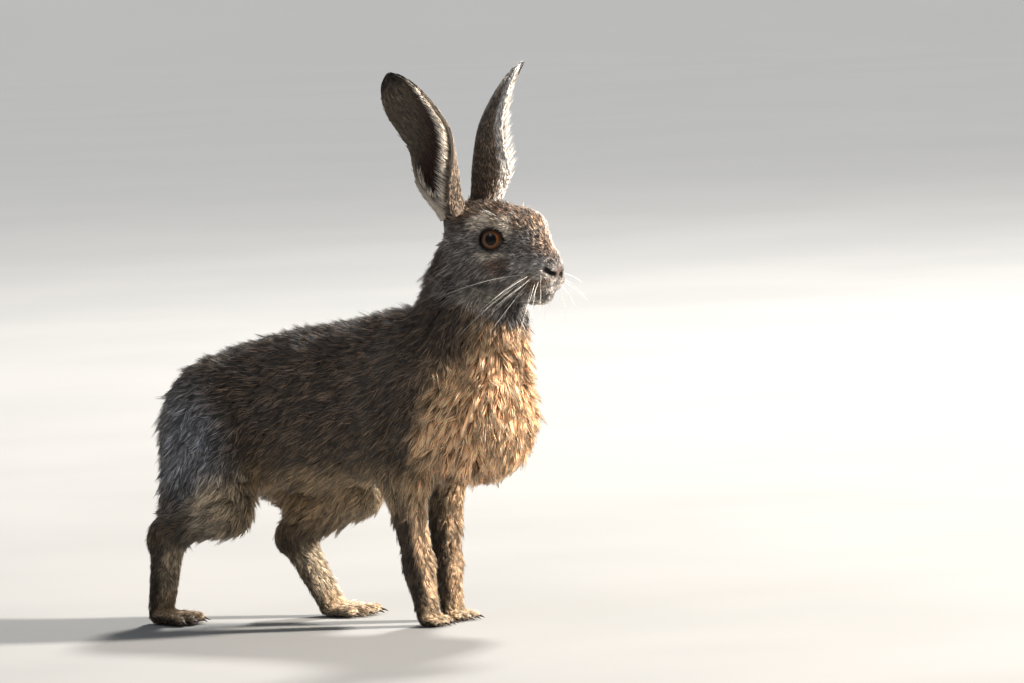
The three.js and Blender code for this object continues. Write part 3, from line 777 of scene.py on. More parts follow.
class Markings:
    """The pattern of the coat, shared by skin and tufts."""

    def __init__(self, head: Head) -> None:
        """Prepares the noise and the rings of the lids."""
        self.broad = Ripple(SEED, 46)
        self.middling = Ripple(SEED + 1, 15)
        self.fine = Ripple(SEED + 2, 5)
        self.rings = {side: head.lid_points(side, 40, 0.2) for side in (-1, 1)}

    def body(self, p: Array, normal: Array, shades: Shades) -> None:
        """Colours the trunk, neck, legs and tail.

        Args:
            p: places of the anatomy.
            normal: outward direction at each.
            shades: the colours to lay over.
        """
        x, y, z = p.T
        wander = 6 * self.broad.at(p) + 2.5 * self.middling.at(p)
        facing = normal[:, 0]
        upward = normal[:, 2]
        sideways = p * vec(1, 0, 1) + np.abs(p) * vec(0, 1, 0)
        shades.lay(smooth(-x + wander, 10, 60) * 0.6, RUMP)
        low = 1 - smooth(z + wander - 0.1 * x, 86, 132)
        shades.lay(low * (1 - smooth(upward, 0.1, 0.75)) * 0.9, FLANK)
        shades.lay((1 - smooth(z + 0.7 * wander, 86, 104)) * smooth(x, -40, -24) * smooth(z, 48, 58), BELLY)
        # Painted reflection: a patch on each haunch where the sky's reflection on the wet fur is painted in.
        shifted = sideways + wander[:, None] * 0.5
        shades.lay(blot(shifted, vec(-44, 36, 108), vec(24, 26, 34), 0.55) * 0.95, SKY_SHEEN_GREY)
        # Painted shade: the top of the neck, away from its front, is painted dark as if in shade.
        shaded_nape = smooth(z + wander, 166, 190) * (1 - smooth(facing, 0.0, 0.45))
        shades.lay(shaded_nape, NECK)
        retreat = 0.5 * np.maximum(z - 120, 0)
        front = smooth(x + wander + 20 * facing - retreat, 110, 134) * (1 - smooth(z + wander, 186, 206))
        shades.lay(front, CHEST)
        shades.lay(smooth(x + 20 * facing + wander, 156, 172) * smooth(z, 170, 190) * 0.8, THROAT)
        # Painted light and shade: the forelegs' forward-facing faces are painted pale as if lit, the others
        # dark as if in shade.
        foreleg = (1 - smooth(z + wander, 66, 92)) * smooth(x, 78, 86)
        shades.lay(foreleg * (1 - smooth(facing, 0.4, 0.85)), SHADED_LEG_REAR)
        shades.lay(foreleg * smooth(facing, 0.4, 0.85), LIT_LEG_FRONT)
        # Painted light and shade: the hind legs are painted dark as if in shade, and pale on their
        # forward-facing faces as if lit.
        hind = (1 - smooth(z + wander, 40, 78)) * (1 - smooth(x, 74, 82))
        shades.lay(hind * 0.9, SHADED_LEG_REAR)
        shades.lay(hind * smooth(facing, 0.0, 0.7) * 0.9, HIND_FRONT)
        shades.lay(blot(sideways, vec(-30, 34, 72), vec(15, 22, 24), 0.5) * 0.8, HIND_FRONT)
        # Painted light: the lower left hind leg alone is painted pale, as if lit.
        pale = (1 - smooth(z + wander, 26, 46)) * smooth(y, 0, 8) * (1 - smooth(x, 74, 82))
        shades.lay(pale * smooth(facing, -0.8, 0.0), HIND_FRONT)
        shades.lay((1 - smooth(z, 8, 22)) * smooth(facing + upward, -0.4, 0.4), FOOT)
        tail = (1 - smooth(x, -76, -70)) * smooth(z, 58, 64) * (1 - smooth(z, 104, 118)) * (np.abs(y) < 14)
        shades.lay(tail * (1 - smooth(facing, -0.25, 0.25)), TAIL_TOP)
        shades.lay(tail * smooth(facing, -0.25, 0.25), TAIL_UNDER)

    def head(self, p: Array, normal: Array, shades: Shades) -> None:
        """Colours the head.

        Args:
            p: places of the anatomy.
            normal: not used.
            shades: the colours to lay over.
        """
        h = in_head(p)
        h[:, 1] = np.abs(h[:, 1])
        x, _, z = h.T
        speck = 1.8 * self.fine.at(p)
        inside = smooth(x, -36, -26)
        shades.lay(inside * (1 - smooth(z + speck, 2, 12)) * smooth(z + speck - 0.4 * x, -56, -46), CHEEK)
        shades.lay(inside * smooth(z + 0.2 * x + speck, 6, 14), CROWN)
        for patch in FACE_PATCHES:
            patch.lay(h, shades)
        chin = (1 - smooth(z + speck, -35.5, -32)) * smooth(x + speck, 8, 20)
        shades.lay(chin * smooth(z, -50, -43) * 0.85, WHITE)
        for patch in LIP_PATCHES:
            patch.lay(h, shades)
        shades.lay(self.nose_pad(h), NOSE)
        # Painted shade: the nostrils and a rim round them are painted dark for the shade inside them.
        shades.lay(self.nostril(h), DARK)
        shades.lay(1 - smooth(self.lid_distance(p), 0.9, 2.3), DARK)

    @staticmethod
    def nose_pad(h: Array) -> Array:
        """How far a point lies on the bare skin between the nostrils. h has y at or above 0."""
        return blot(h, vec(37.2, 0, -20.5), vec(4.4, 4.8, 4.6), 0.3)

    @staticmethod
    def nostril(h: Array) -> Array:
        """How far a point lies in a nostril. h has y at or above 0."""
        start, end = vec(31.6, 6.2, -18.2), vec(36.4, 2.8, -23)
        along = end - start
        share = np.clip((h - start) @ along / (along @ along), 0, 1)
        gap = np.linalg.norm(h - start - share[:, None] * along, axis=1)
        return 1 - smooth(gap, 2.0, 2.9)

    def lid_distance(self, p: Array) -> Array:
        """Distance of each point from the nearer ring of lids."""
        h = in_head(p)
        gap = np.full(len(p), 99.0)
        for ring in self.rings.values():
            near = np.linalg.norm(h - ring.mean(axis=0), axis=1) < 18
            if near.any():
                d = np.linalg.norm(h[near][:, None] - ring[None], axis=2).min(axis=1)
                gap[near] = np.minimum(gap[near], d)
        return gap

    def shades(self, p: Array, normal: Array) -> Shades:
        """The colours at each point of the body.

        Args:
            p: places of the anatomy.
            normal: outward direction at each.

        Returns:
            The colours of root, band and tip.
        """
        shades = Shades.of(len(p), BACK)
        self.body(p, normal, shades)
        face = p @ HEAD_CUT_NORMAL > HEAD_CUT_LEVEL - 4
        part = shades.chosen(face)
        self.head(p[face], normal[face], part)
        shades.root[face], shades.band[face], shades.tip[face] = part.root, part.band, part.tip
        drift = 1 + 0.14 * self.broad.at(p) + 0.16 * self.middling.at(p) + 0.2 * self.fine.at(p)
        for layer in (shades.root, shades.band, shades.tip):
            layer *= drift[:, None]
        return shades

    def cover(self, p: Array, normal: Array) -> Array:
        """How thickly the coat grows at each point: 0 on bare skin, 1 elsewhere.

        Args:
            p: places of the anatomy.
            normal: outward direction at each.

        Returns:
            A share from 0 to 1 for each point.
        """
        h = in_head(p)
        eyes = [vec(0.5, 14.5 * side, 0) for side in (-1, 1)]
        opening = sum(blot(h, eye, vec(9.4, 8, 6.2), 0.04) for eye in eyes)
        h[:, 1] = np.abs(h[:, 1])
        bare = np.maximum(self.nose_pad(h), self.nostril(h))
        bare = np.maximum(bare, opening)
        bare = np.maximum(bare, 1 - smooth(self.lid_distance(p), 0.9, 1.5))
        sole = (1 - smooth(p[:, 2], 1.2, 2.4)) * (normal[:, 2] < 0)
        return np.clip(1 - np.maximum(bare, sole), 0, 1)


class Skin:
    """The bare body under the coat, in one piece."""

    body_cell = 1.7
    head_cell = 0.65
    band_share = 0.45
    root_share = 0.4

    def __init__(self, flesh: Flesh, markings: Markings) -> None:
        """Keeps the field and the pattern that the skin is made from."""
        self.flesh = flesh
        self.markings = markings

    def build(self, material: bpy.types.Material) -> bpy.types.Object:
        """Makes the skin, with a finer net on the head, and colours it.

        Args:
            material: its finish.

        Returns:
            The new piece.
        """
        body_points, body_quads = self.flesh.net(self.body_cell, -1)
        head_points, head_quads = self.flesh.net(self.head_cell, 1)
        points = np.concatenate([body_points, head_points])
        quads = np.concatenate([body_quads, head_quads + len(body_points)])
        mesh = make_mesh("skin", points, quads)
        self.points = points
        self.normals = np.zeros((len(points), 3), dtype=np.float32)
        mesh.vertex_normals.foreach_get("vector", self.normals.ravel())
        shades = self.markings.shades(points, self.normals)
        # The skin is the underfur's own darker colour, darkened further as painted shade in the gaps between
        # the locks.
        paint(mesh, "Coat", shades.band * self.band_share + shades.root * self.root_share)
        flesh_nodes = [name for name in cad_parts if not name.startswith(("ear", "eye"))]
        return add_piece(mesh, material, tuple(flesh_nodes))


COAT_SLOTS = {part: "body_coat" for part in Part}
COAT_SLOTS[Part.HEAD] = "head_coat"
COAT_SLOTS[Part.TAIL] = "tail_coat"
for leg_part in (Part.HIND_RIGHT, Part.HIND_LEFT, Part.FORE_RIGHT, Part.FORE_LEFT):
    COAT_SLOTS[leg_part] = "leg_coat"

# These parts have tufts of two rings, and the rest have tufts of one.
LONG_HAIRED = (Part.CHEST, Part.THIGH_RIGHT, Part.THIGH_LEFT, Part.TAIL)


class Unwrap:
    """A flat map of the skin: one chart for each part and each of six directions that it faces."""

    def __init__(self, points: Array, normals: Array, parts: Array) -> None:
        """Sizes the charts from the skin's points and packs them into a square.

        Args:
            points: places of the skin.
            normals: outward direction at each.
            parts: number of the part that each belongs to.
        """
        self.charts: dict[int, tuple[Array, Array]] = {}
        keys, flat = self.flatten(points, normals, parts)
        sizes = {}
        for key in np.unique(keys):
            spot = flat[keys == key]
            sizes[int(key)] = (spot.min(axis=0) - 2, np.ptp(spot, axis=0) + 4)
        area = sum(size[0] * size[1] for _, size in sizes.values())
        self.side = math.sqrt(area)
        while not self.packed(sizes):
            self.side *= 1.06

    @staticmethod
    def flatten(points: Array, normals: Array, parts: Array) -> tuple[Array, Array]:
        """The chart of each point, and its place in it in millimetres."""
        axis = np.abs(normals).argmax(axis=1)
        front = np.take_along_axis(normals, axis[:, None], axis=1)[:, 0] > 0
        others = np.array([[1, 2], [0, 2], [0, 1]])[axis]
        return parts * 6 + axis * 2 + front, np.take_along_axis(points, others, axis=1)

    def packed(self, sizes: dict[int, tuple[Array, Array]]) -> bool:
        """Lays the charts on shelves, tallest first, and says whether they fit the square."""
        x = y = shelf = 0.0
        for key, (low, size) in sorted(sizes.items(), key=lambda item: -item[1][1][1]):
            if x + size[0] > self.side:
                x, y, shelf = 0.0, y + shelf, 0.0
            shelf = max(shelf, size[1])
            self.charts[key] = (low, vec(x, y))
            x += size[0]
        return y + shelf <= self.side

    def place(self, points: Array, normals: Array, parts: Array) -> Array:
        """The place of each point on the map, from 0 to 1."""
        keys, flat = self.flatten(points, normals, parts)
        known = np.array(sorted(self.charts))
        keys = known[np.clip(np.searchsorted(known, keys), 0, len(known) - 1)]
        table = {key: self.charts[int(key)] for key in known}
        low = np.array([table[k][0] for k in known])
        corner = np.array([table[k][1] for k in known])
        row = np.searchsorted(known, keys)
        return np.clip((flat - low[row] + corner[row]) / self.side, 0, 1)


@dataclass
class Tufts:
    """Tapered tufts of hair, each a closed blade of three sides bent over a spine of points."""

    spine: Array  # tufts by points along the tuft by 3
    up: Array  # direction away from the skin
    width: Array
    shades: Shades
    chance: Array  # two random numbers for each tuft
    place: Array  # of each root on the unwrap

    PATCH = 0.003
    TAPER = {1: (1.0,), 2: (1.0, 0.8)}

    def chosen(self, pick: Array | slice) -> "Tufts":
        """Some of the tufts."""
        return Tufts(self.spine[pick], self.up[pick], self.width[pick], self.shades.chosen(pick),
                     self.chance[pick], self.place[pick])

    @property
    def rings(self) -> int:
        """Number of three-sided rings between the root and the tip of a tuft."""
        return self.spine.shape[1] - 2

    def corners(self) -> Array:
        """Corners of one tuft's triangles: its root is point 0 and its tip the last."""
        rings = self.rings
        last = 3 * rings + 1
        faces = [(0, 1 + (j + 1) % 3, 1 + j) for j in range(3)]
        for i in range(rings - 1):
            for j in range(3):
                a, b = 1 + 3 * i + j, 1 + 3 * i + (j + 1) % 3
                faces += [(a, b, b + 3), (a, b + 3, a + 3)]
        faces += [(last - 3 + j, last - 3 + (j + 1) % 3, last) for j in range(3)]
        return np.array(faces)

    def mesh(self, name: str) -> bpy.types.Mesh:
        """Makes one mesh of all the tufts, with their colours and their map.

        Args:
            name: name of the mesh.

        Returns:
            The mesh, with the points' colours and the OFBake map.
        """
        count, rings = len(self.spine), self.rings
        each = rings * 3 + 2
        points = np.empty((count, each, 3))
        points[:, 0], points[:, -1] = self.spine[:, 0], self.spine[:, -1]
        for i in range(rings):
            way = unit(self.spine[:, i + 2] - self.spine[:, i])
            side = unit(np.cross(self.up, way))
            up = np.cross(way, side)
            half = (self.width * 0.5 * self.TAPER[rings][i])[:, None]
            centre = self.spine[:, i + 1]
            points[:, 1 + i * 3] = centre - side * half
            points[:, 2 + i * 3] = centre + side * half
            points[:, 3 + i * 3] = centre + up * half * 0.7
        faces = self.corners()
        corners = faces[None] + (np.arange(count) * each)[:, None, None]
        mesh = make_mesh(name, points.reshape(-1, 3), corners.reshape(-1, 3))
        self.dress(mesh, faces)
        return mesh

    def dress(self, mesh: bpy.types.Mesh, faces: Array) -> None:
        """Stores the colours, the place along each tuft and the map.

        Args:
            mesh: the mesh of tufts.
            faces: corners of one tuft's faces.
        """
        rings = self.rings
        each = rings * 3 + 2
        for label in ("Root", "Band", "Tip"):
            paint(mesh, label, np.repeat(getattr(self.shades, label.lower()), each, axis=0))
        along = np.concatenate([[0.0], np.repeat((np.arange(rings) + 1) / (rings + 1), 3), [1.0]])
        hair = np.zeros((len(self.width), each, 3))
        hair[:, :, 0] = along
        hair[:, :, 1:] = self.chance[:, None]
        paint(mesh, "Hair", hair.reshape(-1, 3))
        across = np.concatenate([[0.0], np.tile([-0.5, 0.5, 0.0], rings), [0.0]])
        local = np.stack([across, along], axis=1) * self.PATCH
        spots = (self.place[:, None] + local[None])[:, faces.ravel()]
        layer = mesh.uv_layers.new(name="OFBake")
        layer.data.foreach_set("uv", spots.astype(np.float32).ravel())


class Coat:
    """The fur of the body and head."""

    root_depth = 0.4  # of the roots in the skin
    swirl_share = 0.35
    scatter = 0.2  # of the lie from tuft to tuft
    guard_share = 0.08  # of hairs that are longer, thinner and stand higher
    rises = (0.42, 0.75, 1.12)  # height of each point of the spine, as a share of the coat's
    bend_limit = 3.5
    floor_gap = 0.5
    lock_pulls = (0.2, 0.65, 1.0)  # how far each point of the spine goes to its lock
    alone_share = 0.3  # of tufts with a shade of their own in a lock
    lock_shade = 0.85

    def __init__(self, flesh: Flesh, markings: Markings, skin: Skin) -> None:
        """Keeps what the tufts grow from."""
        self.flesh = flesh
        self.markings = markings
        self.skin = skin
        self.rng = np.random.default_rng(SEED)
        self.part_ripple = Ripple(SEED + 3, 22)
        self.swirl = [Ripple(SEED + 4 + i, 30) for i in range(3)]

    def roots(self, mesh: bpy.types.Mesh) -> tuple[Array, Array, CoatPlan]:
        """Spreads the roots of the tufts over the skin.

        Args:
            mesh: the skin.

        Returns:
            The roots, the outward direction at each, and the coat's measures there.
        """
        mesh.calc_loop_triangles()
        corners = np.zeros((len(mesh.loop_triangles), 3), dtype=np.int32)
        mesh.loop_triangles.foreach_get("vertices", corners.ravel())
        a, b, c = (self.skin.points[corners[:, i]] for i in range(3))
        middle = (a + b + c) / 3
        normal = unit(self.skin.normals[corners].sum(axis=1))
        area = np.linalg.norm(np.cross(b - a, c - a), axis=1) / 2
        plan = self.flesh.coat_at(middle)
        share = SHARE_OF_COAT * area * plan.density * self.markings.cover(middle, normal)
        heap = np.cumsum(share)
        count = int(heap[-1])
        picks = np.searchsorted(heap, (np.arange(count) + self.rng.random(count)) * heap[-1] / count)
        picks = np.minimum(picks, len(corners) - 1)
        u, v = self.rng.random(count), self.rng.random(count)
        flip = u + v > 1
        u, v = np.where(flip, 1 - u, u)[:, None], np.where(flip, 1 - v, v)[:, None]
        roots = a[picks] + (b[picks] - a[picks]) * u + (c[picks] - a[picks]) * v
        normals = self.skin.normals[corners[picks]]
        weight = np.concatenate([1 - u - v, u, v], axis=1)[:, :, None]
        normals = unit((normals * weight).sum(axis=1))
        keep = self.rng.random(count) < np.sqrt(self.markings.cover(roots, normals))
        roots, normals = roots[keep], normals[keep]
        return roots, normals, self.flesh.coat_at(roots)

    def grow(self, roots: Array, normals: Array, plan: CoatPlan) -> tuple[Array, Array]:
        """Bends each tuft over the body along the lie of the coat.

        Args:
            roots: places on the skin.
            normals: outward direction at each.
            plan: the coat's measures at each.

        Returns:
            The spine of each tuft, and its width.
        """
        count = len(roots)
        rng = self.rng
        turn = np.stack([r.at(roots) for r in self.swirl], axis=1) * self.swirl_share
        lie = tangent(plan.lie + turn + rng.normal(size=(count, 3)) * self.scatter, normals)
        guard = rng.random(count) < self.guard_share
        length = plan.length * rng.uniform(0.65, 1.2, count) * np.where(guard, 1.3, 1)
        waves = 1 + 0.28 * self.part_ripple.at(roots)
        height = plan.height * rng.uniform(0.4, 1.25, count) * waves * np.where(guard, 1.6, 1)
        width = plan.width * rng.uniform(0.75, 1.25, count) * np.where(guard, 0.7, 1)
        spine = np.empty((count, 4, 3))
        spine[:, 0] = roots - normals * self.root_depth
        here, way = roots, lie
        for i, rise in enumerate(self.rises, 1):
            step = here + way * (length / 3)[:, None]
            slope = self.flesh.slope(step)
            out = unit(slope)
            gap = self.flesh.values(step) / np.clip(np.linalg.norm(slope, axis=1), 0.5, 1.5)
            move = np.clip(height * rise - gap, -self.bend_limit, self.bend_limit)
            here = step + out * move[:, None]
            way = tangent(way, out)
            spine[:, i] = here
        spine[:, :, 2] = np.maximum(spine[:, :, 2], self.floor_gap)
        return spine, width

    def clump(self, spine: Array, normals: Array, plan: CoatPlan) -> Array:
        """Draws the tips of neighbouring tufts together.

        Args:
            spine: points along each tuft, changed in place.
            normals: outward direction at each root.
            plan: the coat's measures at each root.

        Returns:
            Two random numbers for each tuft, partly shared by the tufts of a lock.
        """
        count = len(spine)
        leaders = np.flatnonzero(self.rng.random(count) < 1 / (4 + 16 * plan.clump ** 2))
        tree = KDTree(len(leaders))
        for row, leader in enumerate(leaders):
            tree.insert(Vector(spine[leader, 0]), row)
        tree.balance()
        nearest = np.array([tree.find(Vector(root))[1] for root in spine[:, 0]])
        leader = leaders[nearest]
        apart = np.linalg.norm(spine[leader, 0] - spine[:, 0], axis=1)
        alike = np.sum(normals[leader] * normals, axis=1) > 0.6
        pull = plan.clump * alike * (1 - smooth(apart, plan.length * 0.4, plan.length * 0.9))
        pull *= self.rng.uniform(0.7, 1.1, count)
        target = spine[leader].copy()
        for i, share in enumerate(self.lock_pulls, 1):
            spine[:, i] += (target[:, i] - spine[:, i]) * (pull * share)[:, None]
        chance = self.rng.random((count, 2))
        alone = self.rng.random(count) < self.alone_share
        shared = chance[leader, 0] * self.lock_shade + chance[:, 0] * (1 - self.lock_shade)
        chance[:, 0] = np.where(alone, chance[:, 0], shared)
        return chance

    def build(self, mesh: bpy.types.Mesh, material: bpy.types.Material) -> None:
        """Makes the pieces of the coat, part by part.

        Args:
            mesh: the skin.
            material: finish of the tufts.
        """
        roots, normals, plan = self.roots(mesh)
        log.info("coat: %d tufts", len(roots))
        spine, width = self.grow(roots, normals, plan)
        chance = self.clump(spine, normals, plan)
        shades = self.markings.shades(roots, normals)
        everywhere = self.flesh.coat_at(self.skin.points)
        unwrap = Unwrap(self.skin.points, self.skin.normals, everywhere.part)
        place = unwrap.place(roots, normals, plan.part)
        for i, part in enumerate(Part):
            mine = np.flatnonzero(plan.part == i)
            if not len(mine):
                continue
            long_hair = part in LONG_HAIRED
            stations = [0, 1, 2, 3] if long_hair else [0, 1, 3]
            tufts = Tufts(spine[mine][:, stations], normals[mine], width[mine], shades.chosen(mine),
                          chance[mine], place[mine])
            triangles = 12 if long_hair else 6
            pieces = math.ceil(len(mine) * triangles / COAT_PIECE_TRIANGLES)
            for number, rows in enumerate(np.array_split(np.arange(len(mine)), pieces)):
                piece = tufts.chosen(rows).mesh(f"coat_{part.value}_{number + 1}")
                add_piece(piece, material)


@dataclass(frozen=True)
class Ear:
    """One ear: a long leaf rolled into a cup, with short fur on its back and a fringe on its edges."""

    side: int
    tip: Array
    facing: float
    root: Array = field(default_factory=lambda: Head().ear_root)
    half_width: float = 17.5
    rings: int = 64
    across: int = 18
    fur_depth: float = 0.5
    turned_back: float = 0.5
    pale_from: float = 1.3
    roll_at_root: float = 2.5
    roll_at_tip: float = 0.95
    bow: float = 5
    thick_at_root: float = 3.2
    thick_at_tip: float = 1.4
    stem_thickness: float = 5
    front_fringe: float = 10.5
    rear_fringe: float = 6
    back_tufts: int = 7500
    cup_tufts: int = 2600
    fringe_tufts: int = 1300

    def frame_vectors(self) -> tuple[Array, Array, Array, float]:
        """Directions along the ear, out of its opening and across it, and its length, in the head's frame."""
        flip = vec(1, self.side, 1)
        span = (self.tip - self.root) * flip
        length = float(np.linalg.norm(span))
        up = span / length
        facing = vec(math.cos(self.facing), self.side * math.sin(self.facing), 0)
        opening = unit(facing - up * (facing @ up))
        return up, opening, np.cross(up, opening), length

    def width_share(self, u: Array) -> Array:
        """The ear's width at a share u of its length, against its greatest."""
        swell = 0.5 + 0.5 * smooth(u, 0, 0.42)
        fall = 1 - np.clip((u - 0.42) / 0.58, 0, 1) ** 2.2
        return swell * np.maximum(np.sqrt(np.maximum(fall, 0)), 0.06)

    def surface(self, u: Array, v: Array, inside: bool, raise_by: float = 0.0) -> Array:
        """Points on the ear's back or in its cup.

        Args:
            u: share of the length, from root to tip.
            v: place across, from -1 to 1.
            inside: whether the point is in the cup.
            raise_by: how far above the skin it lies.

        Returns:
            Places of the anatomy.
        """
        up, opening, wide, length = self.frame_vectors()
        half = self.half_width * self.width_share(u)
        roll = self.roll_at_root + (self.roll_at_tip - self.roll_at_root) * smooth(u, 0, 0.55)
        radius = half / np.sin(np.minimum(roll, math.pi / 2))
        bow = self.bow * np.sin(math.pi * u)
        centre = (self.root * vec(1, self.side, 1) + up * (u * length)[:, None]
                  + opening * (radius * 0.6 - bow)[:, None])
        stem = self.stem_thickness * (1 - smooth(u, 0, 0.22))
        thick = self.thick_at_root + (self.thick_at_tip - self.thick_at_root) * u + stem
        thick *= np.minimum(1, 0.25 + (1 - u) * 6)
        thick = np.maximum(thick - 2 * self.fur_depth, 0.5)
        inner = np.maximum(radius - self.fur_depth - thick, radius * 0.15)
        r = inner - raise_by if inside else radius - self.fur_depth + raise_by
        lean = self.front() * self.turned_back * (1 - smooth(u, 0.3, 0.95))
        angle = v * roll * (0.94 if inside else 0.985) + lean
        arc = wide * (r * np.sin(angle))[:, None] - opening * (r * np.cos(angle))[:, None]
        return on_head(centre + arc)

    def normals(self, u: Array, v: Array, inside: bool) -> Array:
        """Direction away from the skin at points of the back or the cup."""
        out = self.surface(u, v, inside, 1.0) - self.surface(u, v, inside)
        return unit(out)

    def shades(self, u: Array, v: Array, inside: bool, points: Array, ripple: Ripple) -> Shades:
        """The colours at points of the ear.

        Args:
            u: share of the length, from root to tip.
            v: place across, from -1 to 1.
            inside: whether the points are in the cup.
            points: places of the anatomy.
            ripple: noise that breaks the edges of the patches.

        Returns:
            The colours of root, band and tip.
        """
        wander = 0.05 * ripple.at(points)
        front = v * self.front()
        # Inside the cup the base tone carries painted shade and painted light shining through the ear.
        shades = Shades.of(len(u), EAR_FLESH if inside else EAR_BACK)
        if inside:
            shades.lay(smooth(u + 0.5 * wander - 0.3 * front, 0.45, 0.8) * 0.7, EAR_GREY)
            shades.lay(smooth(front + wander, 0.6, 0.85) * 0.85, CREAM)
            shades.lay(smooth(-front + wander, 0.75, 0.92) * (1 - smooth(u, 0.2, 0.32)) * 0.8, CREAM)
        else:
            shades.lay(smooth(front + wander, 0.2, 0.8) * 0.45, CROWN)
            shades.lay(smooth(front + wander, self.pale_from, self.pale_from + 0.12), WHITE)
            shades.lay(smooth(-front + wander, 0.6, 0.9) * (1 - smooth(u, 0.25, 0.45)) * 0.8, CREAM)
        shades.lay(smooth(u + wander, 0.85, 0.93), DARK)
        return shades

    def front(self) -> int:
        """Sign of v on the margin nearer the face."""
        wide = self.frame_vectors()[2]
        return 1 if wide[0] > 0 else -1

    def skin(self, name: str, material: bpy.types.Material, ripple: Ripple) -> bpy.types.Object:
        """Makes the leaf of the ear.

        Args:
            name: name of the side.
            material: its finish.
            ripple: noise for the markings.

        Returns:
            The new piece.
        """
        u = np.repeat(np.linspace(0, 1, self.rings), self.across)
        v = np.tile(np.linspace(-1, 1, self.across), self.rings)
        back = self.surface(u, v, False)
        cup = self.surface(u, v, True)
        back_shades = self.shades(u, v, False, back, ripple)
        cup_shades = self.shades(u, v, True, cup, ripple)
        row = np.arange(self.rings)[:, None] * self.across * 2
        order = np.concatenate([np.arange(self.across), np.arange(self.across * 2 - 1, self.across - 1, -1)])
        loop = row + order
        points = np.empty((self.rings * self.across * 2, 3))
        colours = np.empty_like(points)
        both = points.reshape(self.rings, 2, self.across, 3)
        both[:, 0], both[:, 1] = (half.reshape(self.rings, self.across, 3) for half in (back, cup))
        tint = colours.reshape(self.rings, 2, self.across, 3)
        for i, shades in enumerate((back_shades, cup_shades)):
            # The leaf is the ear's own colour, darkened as painted shade between the hairs.
            tint[:, i] = (shades.band * 0.5 + shades.root * 0.4).reshape(self.rings, self.across, 3)
        ring = loop.shape[1]
        after = np.roll(loop, -1, axis=1)
        quads = np.stack([loop[:-1], after[:-1], after[1:], loop[1:]], axis=-1).reshape(-1, 4)
        caps = []
        for end, turn in ((loop[0], 1), (loop[-1], -1)):
            for i in range(self.across - 1):
                quad = [end[i], end[ring - 1 - i], end[ring - 2 - i], end[i + 1]]
                caps.append(quad[::turn])
        quads = np.concatenate([quads, np.array(caps)])
        mesh = make_mesh(f"ear_{name}_skin", points, turned_out(points, quads))
        paint(mesh, "Coat", colours)
        return add_piece(mesh, material, (f"ear_{name}",))

    def tufts(self, count: int, inside: bool, rng: np.random.Generator, ripple: Ripple) -> Tufts:
        """Short fur over the back of the ear, or sparse fur in its cup.

        Args:
            count: number of tufts.
            inside: whether they grow in the cup.
            rng: the random draw.
            ripple: noise for the markings.

        Returns:
            The tufts.
        """
        u = rng.random(count * 2) ** 0.9
        keep = rng.random(count * 2) < self.width_share(u)
        u = u[keep][:count] * 0.985
        v = rng.uniform(-1, 1, len(u))
        length = (4.2 if not inside else 5.5) * rng.uniform(0.7, 1.2, len(u))
        span = self.frame_vectors()[3]
        reach = np.minimum(length / span, 1.008 - u)
        sway = rng.normal(size=len(u)) * 0.03 + (0.05 * np.sign(v) * v * v if inside else 0)
        lift = rng.uniform(0.3, 1.0, len(u))
        stations = []
        for share, rise in ((0.0, -0.25), (0.5, 0.35), (1.0, 0.75)):
            further = u + reach * share
            spot = self.surface(np.clip(further, 0, 1), np.clip(v + sway * share, -1.1, 1.1), inside)
            over = np.clip(further - 1, 0, None) * span
            spot += self.normals(u, v, inside) * (rise * lift)[:, None]
            stations.append(spot + self.frame_vectors()[0] * over[:, None])
        roots = self.surface(u, v, inside)
        shades = self.shades(u, v, inside, roots, ripple)
        width = (0.5 if not inside else 0.4) * rng.uniform(0.6, 1.3, len(u))
        place = np.stack([(v * 0.5 + 0.5) * 0.45 + 0.5 * inside, u * 0.95], axis=1)
        return Tufts(np.stack(stations, axis=1), self.normals(u, v, inside), width, shades,
                     rng.random((len(u), 2)), place)

    def fringe(self, count: int, rng: np.random.Generator) -> Tufts:
        """Longer pale hairs along both margins, the longest on the one nearer the face.

        Args:
            count: number of tufts.
            rng: the random draw.

        Returns:
            The tufts.
        """
        front_side = rng.random(count) < 0.82
        u = rng.uniform(0.04, 0.93, count) * np.where(front_side, 1, 0.35)
        v = np.where(front_side, self.front(), -self.front()) * rng.uniform(0.86, 1.0, count)
        up, opening, wide, _ = self.frame_vectors()
        flip_up, flip_open, flip_wide = (on_head(d) - on_head(vec(0, 0, 0)) for d in (up, opening, wide))
        roots = self.surface(u, v, True)
        inward = -np.sign(v)[:, None] * flip_wide
        length = np.where(front_side, self.front_fringe, self.rear_fringe)
        length *= (1 - smooth(u, 0.55, 1) * 0.6) * rng.uniform(0.6, 1.15, count)
        way = unit(flip_up * 0.75 + flip_open * rng.uniform(0.0, 0.45, (count, 1))
                   + inward * rng.uniform(0.25, 0.75, (count, 1)))
        middle = roots + way * (length * 0.5)[:, None]
        end = middle + unit(way + flip_up * 0.5) * (length * 0.5)[:, None]
        spine = np.stack([roots, middle, end], axis=1)
        shades = Shades.of(count, CREAM)
        shades.lay(smooth(u, 0.82, 0.92), DARK)
        shades.lay(rng.random(count) * 0.35, EAR_BACK)
        place = np.stack([(v * 0.5 + 0.5) * 0.45 + 0.5, u * 0.95], axis=1)
        return Tufts(spine, np.tile(flip_open, (count, 1)), 0.34 * rng.uniform(0.7, 1.2, count), shades,
                     rng.random((count, 2)), place)

